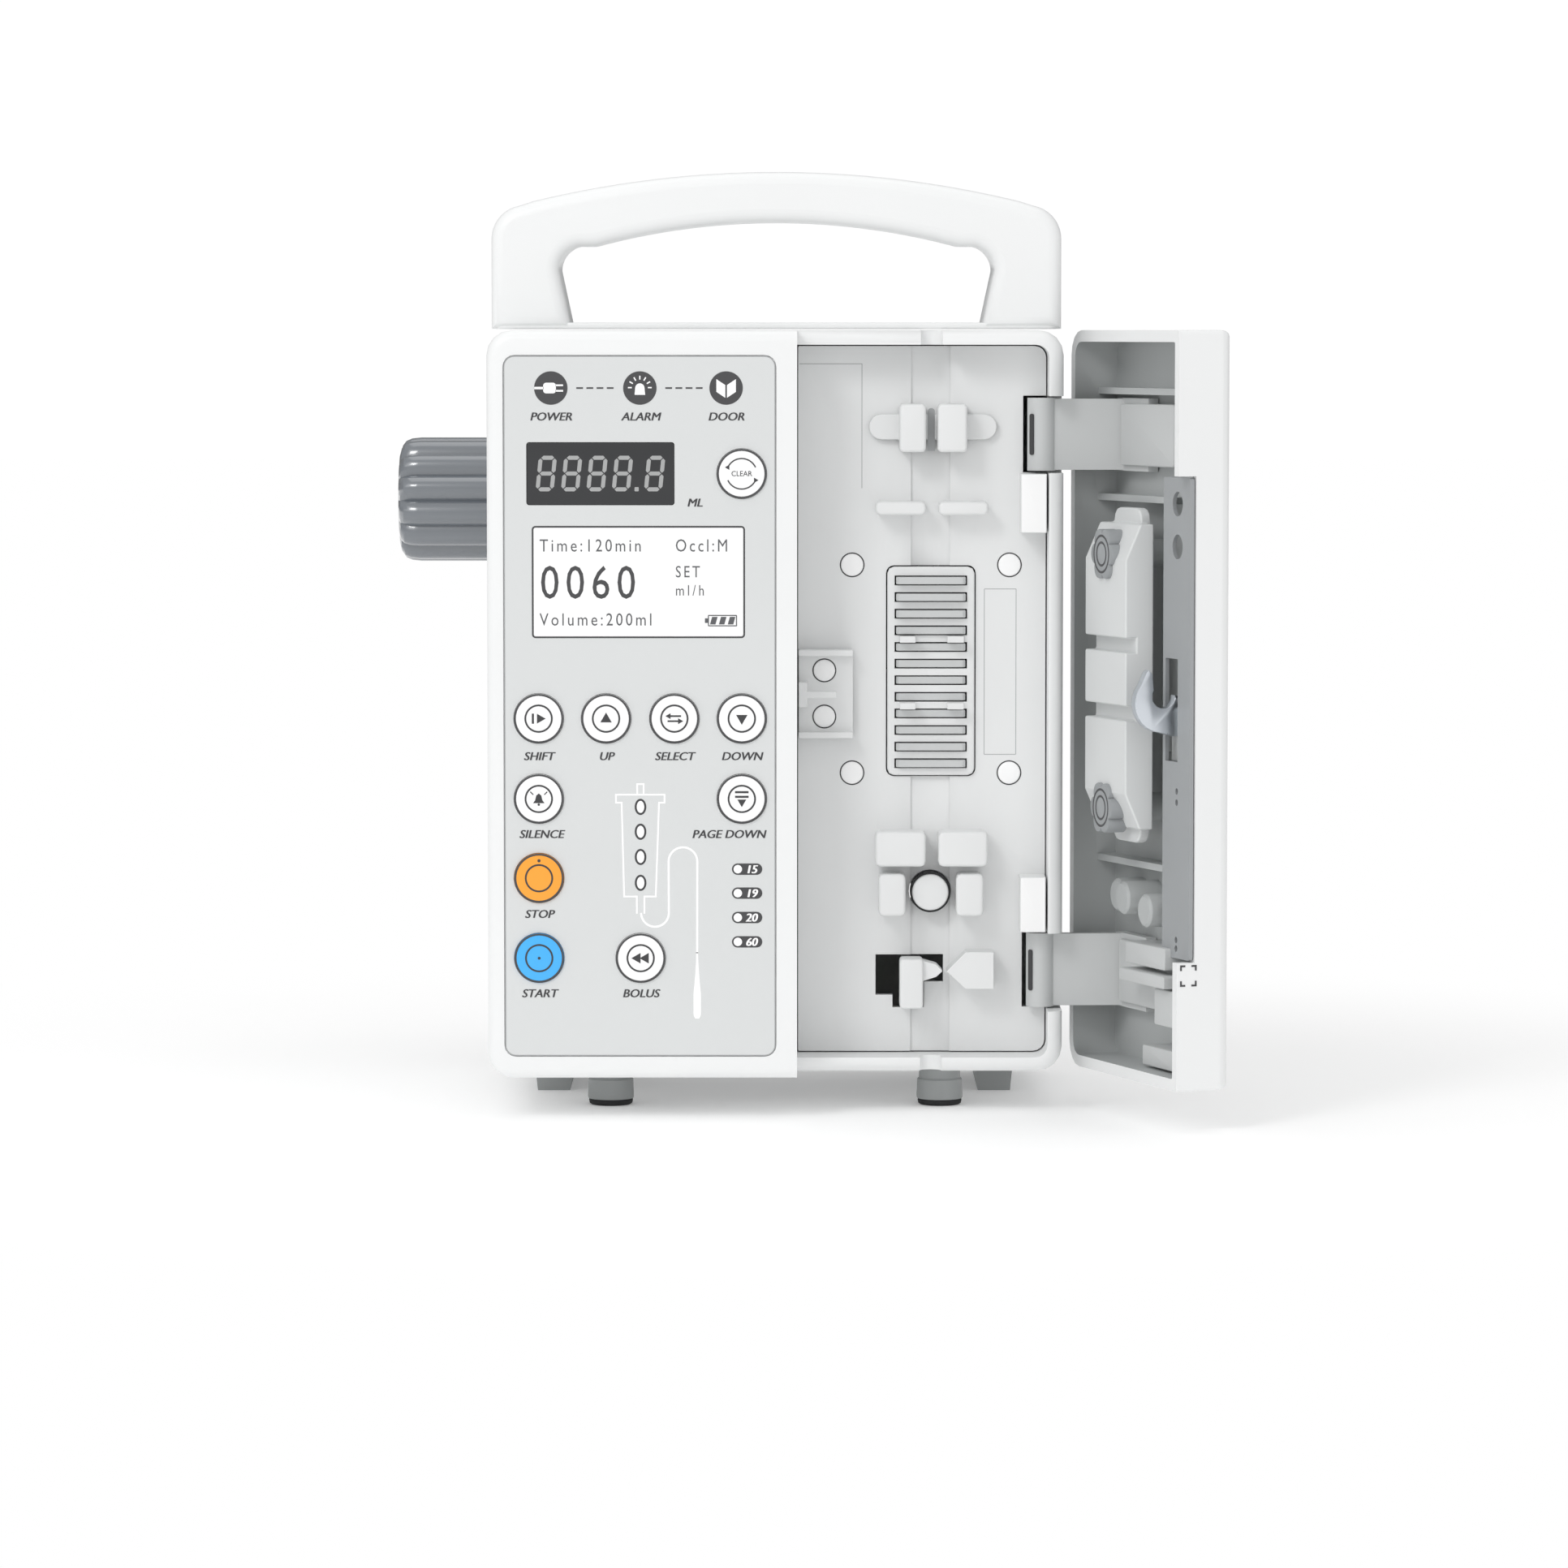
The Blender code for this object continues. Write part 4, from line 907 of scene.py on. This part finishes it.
linePiece("drip_spout", [(mid - 0.75, 77.95), (mid - 0.75, 80.2), (mid + 0.75, 80.2), (mid + 0.75, 77.95)])
leftSide = [
    (-32.2, 77.7), (-38.0, 77.7), (-38.0, 75.8), (-36.65, 75.8), (-36.1, 53.5), (-33.1, 53.5), (-33.1, 49.4)
]
rightSide = [
    (-32.2, 77.7), (-26.5, 77.7), (-26.5, 75.8), (-27.8, 75.8), (-28.6, 53.5), (-31.3, 53.5), (-31.3, 49.4)
]
linePiece("drip_body_left", leftSide)
linePiece("drip_body_right", rightSide)
lower = arcPoints(-28.8, 49.6, 3.3, 180, 360, 25)
upper = arcPoints(-22.15, 61.8, 3.4, 180, 0, 25)
rise = densePath([(-25.5, 49.8), (-25.55, 61.6)])
fall = densePath([(-18.75, 61.6), (-18.8, 40.0)])
tubePath = np.concatenate([lower, rise, upper, fall])
linePiece("drip_tube", tubePath, 0.5)
length = np.linspace(0, 1, 40)
halfWide = 0.26 + 0.62 * np.clip((length - 0.12) / 0.5, 0, 1) ** 1.3
tailZ = 40.2 - 15.8 * length
halfWide[-3:] *= np.array([0.95, 0.8, 0.5])
tail = np.concatenate(
    [np.stack([-18.8 - halfWide, tailZ], -1), np.stack([-18.8 + halfWide, tailZ], -1)[::-1]]
)
whitePrint("drip_tail", [tail], printY, 0.05)
for row, z in enumerate((74.8, 68.9, 62.9, 56.75)):
    loops = [circle(mid, z, 1.38, 32, 1.92), circle(mid, z, 0.9, 32, 1.44)]
    flatPiece(f"drip_drop_{row}", loops, printY, "inkText", thick=0.05, slot="dark_window")
    whitePrint(f"drip_drop_fill_{row}", [circle(mid, z, 0.88, 32, 1.42)], printY, 0.05)

print("stage: bay details")
cap = {"radius": 2.7, "proud": 0.3}
capPlaces = {
    "cap_upper_left": (18.2, 131.2), "cap_upper_right": (56.0, 131.2), "cap_lower_left": (18.2, 81.15),
    "cap_lower_right": (56.0, 81.15),
}


def capPiece(name, x, y, z, radius):
    # a shallow plug: flat face, rolled rim, with a dark seat line round it
    face = y - cap["proud"]
    profile = [
        (face, 0.05), (face, radius - 0.35), (face + 0.12, radius - 0.1), (y - 0.02, radius),
        (y + 0.6, radius),
    ]
    turnedPiece(name, "Y", (x, z), profile, "keyWhite", "pump_body", slot="casing")
    flatPiece(name + "_seat", ringLoops(x, z, radius + 0.28, 0.3), y, "inkText", thick=0.05, slot="bay")


for name, (x, z) in capPlaces.items():
    capPiece(name, x, floorY, z, cap["radius"])
strikerFace = 8.6
for name, z in (("cap_striker_upper", 106.0), ("cap_striker_lower", 94.9)):
    capPiece(name, 11.5, strikerFace, z, 2.6)
# painted shade: faint grey lines along the edges of the label and clip recesses
recess = np.array(
    [(5.5, 179.34), (20.44, 179.34), (20.44, 149.6), (20.6, 149.6), (20.6, 179.5), (5.5, 179.5)]
)
flatPiece("label_recess_shade_line", [recess], floorY, "grooveShade", thick=0.03, slot="bay")
loops = frameLoops(49.9, 57.7, 85.5, 125.5, 0.2, 0.16)
flatPiece("clip_recess_shade_line", loops, floorY, "grooveShade", thick=0.03, slot="bay")
for name, low, high in (("upper", 139.2, 153.2), ("lower", 43.5, 56.7)):
    corners = (58.5, 1.2, low + 0.1), (64.4, 1.8, high - 0.1)
    boxPiece(f"hinge_block_cap_{name}", *corners, 0.4, 0.2, "keyWhite", "pump_body", slot="bay")
# painted shade: the recessed arched channel between the detector's blocks, drawn as a faint grey shape
arch = np.concatenate([[(36.25, 158.6), (37.95, 158.6)], arcPoints(37.1, 168.0, 0.85, 0, 180, 12)])
flatPiece("detector_gap_shade", [arch], 9.98, "grooveShade", thick=0.04, slot="bay")
plunger = "pressure_plunger"
centre = middleOf(plunger)
profile = [(7.4, 0.05), (7.42, 3.9), (7.6, 4.25), (8.0, 4.45), (21.8, 4.45), (22.0, 4.3)]
turnedPiece(plunger + "_button", "Y", centre, profile, "bay", plunger, 64, replaces=(plunger,))
# the seal is a closed ring, so the end caps go and the last ring of points joins the first
profile = [(7.8, 4.42), (7.62, 4.6), (7.7, 4.82), (8.2, 4.86), (13.0, 4.86), (13.0, 4.46), (8.0, 4.44)]
points, faces = turned("Y", centre, profile, 64)
faces = [face for face in faces if len(face) == 4]
last = (len(profile) - 1) * 64
faces += [(last + k, last + (k + 1) % 64, (k + 1) % 64, k) for k in range(64)]
addPiece("pressure_plunger_seal", points, faces, "rubber", "pressure_plunger", smooth=40, slot="rubber")

print("stage: knob and feet")
knob = {
    "radius": 16.0, "lobes": 13, "depth": 1.9, "left": boxOf("clamp_knob")[0][0],
    "right": boxOf("clamp_knob")[1][0],
}
padLow, padHigh = boxOf("clamp_pad")
clampY, clampZ = (padLow[1] + padHigh[1]) / 2, (padLow[2] + padHigh[2]) / 2
stations = [(0.0, 0.05), (0.0, 0.45), (0.25, 0.74), (0.8, 0.87), (1.7, 0.945), (3.2, 0.985), (5.5, 1.0)]
stations = [(knob["left"] + x, share) for x, share in stations]
stations += [
    (knob["right"] - 6, 1.0), (knob["right"] - 1.2, 0.995), (knob["right"] - 0.4, 0.97),
    (knob["right"], 0.93),
]
# each ring: convex lobes with sharp valleys, the radius falling by |cos| to a low power between lobes
around = knob["lobes"] * 16
angle = np.linspace(0, 2 * np.pi, around, endpoint=False)
dip = knob["depth"] * (1 - np.abs(np.cos(knob["lobes"] * angle / 2)) ** 0.9)


def clampRing(x, radius, turns):
    # points round the clamp's axis at one place along it
    return np.stack(
        [np.full_like(turns, x), clampY + radius * np.cos(turns), clampZ + radius * np.sin(turns)], -1
    )


rings = []
for x, share in stations:
    rings.append(
        clampRing(x, share * knob["radius"] - dip * min(max((share - 0.6) / 0.35, 0.0), 1.0), angle)
    )
right = knob["right"]
for x, radius in ((right, 6.4), (right + 0.02, 4.3), (right - 9, 4.3), (right - 9, 0.05)):
    rings.append(clampRing(x, radius, angle))
points, faces = np.concatenate(rings), gridFaces(len(rings), around)
addPiece("clamp_knob_fluted", points, faces, "knob", "clamp_knob", smooth=26, replaces=("clamp_knob",))

# the clamp screw: a helix cut into the rod, the radius falling with the distance from the thread's crest
thread = {"radius": 3.95, "pitch": 2.0, "deep": 0.55, "around": 24}
screwLow, screwHigh = boxOf("clamp_screw")
along = np.arange(screwLow[0] + 0.8, screwHigh[0] - 0.8, 0.25)
turns = np.linspace(0, 2 * np.pi, thread["around"], endpoint=False)
rings = [clampRing(screwLow[0], radius, turns) for radius in (0.05, 3.1)]
for x in along:
    phase = (x / thread["pitch"] - turns / (2 * np.pi)) % 1.0
    rings.append(clampRing(x, thread["radius"] - thread["deep"] * np.abs(2 * phase - 1), turns))
rings += [clampRing(screwHigh[0], radius, turns) for radius in (3.1, 0.05)]
points, faces = np.concatenate(rings), gridFaces(len(rings), thread["around"])
addPiece("clamp_screw_thread", points, faces, "steel", "clamp_knob", smooth=50, replaces=("clamp_screw",))

# the mains inlet's three blades and the back cover's four pan-head screws, whose crossed slots are dark
# boxes, painted shade in the slots
backY = 95.0
for name, x, z in (("line", -44.2, 28.4), ("neutral", -31.8, 28.4), ("earth", -38.0, 32.2)):
    corners = (x - 1.0, 80.5, z - 2.2), (x + 1.0, 92.0, z + 2.2)
    boxPiece(f"inlet_blade_{name}", *corners, 0.4, 0.3, "steel", "pump_body", slot="steel")
for x in (-61, 10):
    for z in (24, 172):
        place = f"{x}_{z}".replace("-", "m")
        profile = [(-0.6, 3.0), (0.15, 3.0), (0.6, 2.6), (0.85, 1.7), (0.9, 0.05)]
        profile = [(backY + y, radius) for y, radius in profile]
        turnedPiece("back_screw_" + place, "Y", (x, z), profile, "steel", "pump_body", 40, slot="steel")
        # painted shade: each crossed slot is a dark box sunk into the head
        for part, (wide, tall) in enumerate(((1.7, 0.32), (0.32, 1.7))):
            corners = (x - wide, backY + 0.3, z - tall), (x + wide, backY + 0.93, z + tall)
            name = f"back_screw_slot_{place}_{part}"
            boxPiece(name, *corners, 0.1, 0.05, "inkText", "pump_body", slot="dark_window")

for node in ("front_foot_left", "front_foot_right"):
    low, high = boxOf(node)
    x, y = (low[0] + high[0]) / 2, (low[1] + high[1]) / 2
    profile = [(1.5, 0.05), (1.5, 5.45), (1.9, 5.6), (6.2, 5.45), (6.6, 5.0), (high[2], 5.0)]
    turnedPiece(node + "_post", "Z", (x, y), profile, "footGrey", "pump_body", replaces=(node,))
    profile = [(0.0, 0.05), (0.0, 4.7), (0.35, 5.2), (1.1, 5.35), (1.6, 5.2)]
    turnedPiece(node + "_pad", "Z", (x, y), profile, "rubber", "pump_body", slot="rubber")

print("stage: latch hook and door details")


def prismPiece(name, outline, low, high, edge, finish, body, axis="X", **more):
    # an outline of (y, z) along X, or of (x, z) along Y, whose two ends roll in by a small edge
    outline = np.array(outline, float)
    middle = outline.mean(0)
    ahead = np.roll(outline, -1, 0) - np.roll(outline, 1, 0)
    ahead /= np.linalg.norm(ahead, axis=1, keepdims=True) + 1e-9
    inward = np.stack([-ahead[:, 1], ahead[:, 0]], -1)
    area = np.sum(outline[:, 0] * np.roll(outline[:, 1], -1) - np.roll(outline[:, 0], -1) * outline[:, 1])
    inward *= np.sign(area)
    near, far = low + 0.3 * edge, high - 0.3 * edge
    insets = (
        (low, edge), (near, 0.3 * edge), (low + edge, 0), (high - edge, 0), (far, 0.3 * edge), (high, edge)
    )
    rings = []
    for w, inset in insets:
        a, b = (outline + inward * inset).T
        along = np.full(len(a), w)
        rings.append(np.stack([along, a, b] if axis == "X" else [a, along, b], -1))
    faces = gridFaces(len(rings), len(outline))
    if (area < 0) != (axis == "Y"):
        faces = [tuple(reversed(face)) for face in faces]
    return addPiece(name, np.concatenate(rings), faces, finish, body, **more)


hook = {"y": -0.9, "z": 100.4, "outer": 6.9, "inner": 2.8}
outline = np.concatenate([
    [(2.4, 108.2), (3.1, 107.7)],
    arcPoints(hook["y"], hook["z"], hook["outer"], 38, -75, 16),
    [(-3.6, 92.6), (-7.9, 92.5), (-7.9, 101.4), (-4.2, 102.2)],
    arcPoints(hook["y"] - 0.4, hook["z"] + 1.6, hook["inner"], 190, 390, 18),
    [(1.3, 105.4), (1.5, 107.2)],
])
more = {"inDoor": True, "smooth": 35, "replaces": ("latch_hook",)}
prismPiece("latch_hook_claw", outline, 15.3, 17.9, 0.35, "hookSteel", "door_latch", **more)

star = {"lobes": 6, "radius": 5.6, "wave": 0.75, "x": 37.0, "back": 0.2, "front": 5.3}
onPlaten = {"inDoor": True, "slot": "grey_plastic"}
front = star["front"]
for row, z in enumerate((134.7, 74.6)):
    angle = np.linspace(0, 2 * np.pi, 96, endpoint=False)
    lobe = np.abs(np.cos(star["lobes"] * angle / 2)) ** 0.7 * 2 - 1
    radius = star["radius"] + star["wave"] * lobe
    outline = np.stack([star["x"] + radius * np.cos(angle), z + radius * np.sin(angle)], -1)
    more = {"axis": "Y", "smooth": 35, **onPlaten}
    prismPiece(f"platen_star_{row}", outline, star["back"], front, 0.35, "starGrey", "door_platen", **more)
    for part, radius in enumerate((4.6, 3.0)):
        loops = ringLoops(star["x"], z, radius, 0.55)
        name = f"platen_star_ring_{row}_{part}"
        flatPiece(name, loops, front + 0.03, "inkDark", "door_platen", thick=0.05, **onPlaten)
    profile = [(front - 0.5, 2.3), (front, 2.2), (front + 0.25, 1.6), (front + 0.25, 0.05)]
    turnedPiece(f"platen_star_hub_{row}", "Y", (star["x"], z), profile, "plate", "door_platen", **onPlaten)

# a cover over each hinge arm's foot, and the slot that shows in the arm drawn as a dark box, painted shade
# in its recess
for node in ("hinge_arm_upper", "hinge_arm_lower"):
    low, high = boxOf(node)
    corners = (24.0, -11.2, low[2] + 1.3), (55.0, -7.4, high[2] - 1.3)
    boxPiece(node + "_foot_cover", *corners, 0.8, 0.4, "tray", "door", inDoor=True, slot="grey_plastic")
    middle = (low[2] + high[2]) / 2
    # painted shade: a dark box standing for the slot's recess
    corners = (60.55, 6.4, middle - 4.9), (61.6, 8.0, middle + 4.9)
    boxPiece(node + "_slot", *corners, 0.4, 0.15, "inkText", "door", slot="grey_plastic")

for name, corners in {
    "pocket_block": ((16.0, -11.2, 37.4), (38.5, -2.0, 42.6)),
    "pocket_ledge": ((14.0, -11.2, 33.2), (40.0, -0.9, 36.2)),
    "pocket_step": ((12.0, -11.2, 24.0), (24.0, -3.0, 32.6)),
    "pocket_floor": ((16.0, -11.2, 13.4), (34.0, -4.4, 18.2)),
}.items():
    boxPiece("door_" + name, *corners, 0.6, 0.35, "tray", "door", inDoor=True, slot="casing")

mark = {"y": -3.3, "z": 37.2, "half": 2.1, "tall": 2.5, "arm": 1.3, "line": 0.42}
for number, (side, up) in enumerate(((-1, -1), (1, -1), (1, 1), (-1, 1))):
    y, z = mark["y"] + side * mark["half"], mark["z"] + up * mark["tall"]
    armY, armZ = y - side * mark["arm"], z - up * mark["arm"]
    inY, inZ = y - side * mark["line"], z - up * mark["line"]
    corner = [(y, z), (armY, z), (armY, inZ), (inY, inZ), (inY, armZ), (y, armZ)]
    prismPiece(
        f"door_edge_mark_{number}", corner, 5.08, 5.19, 0.01, "inkDark", "door", inDoor=True,
        slot="dark_window",
    )

bpy.context.view_layer.update()
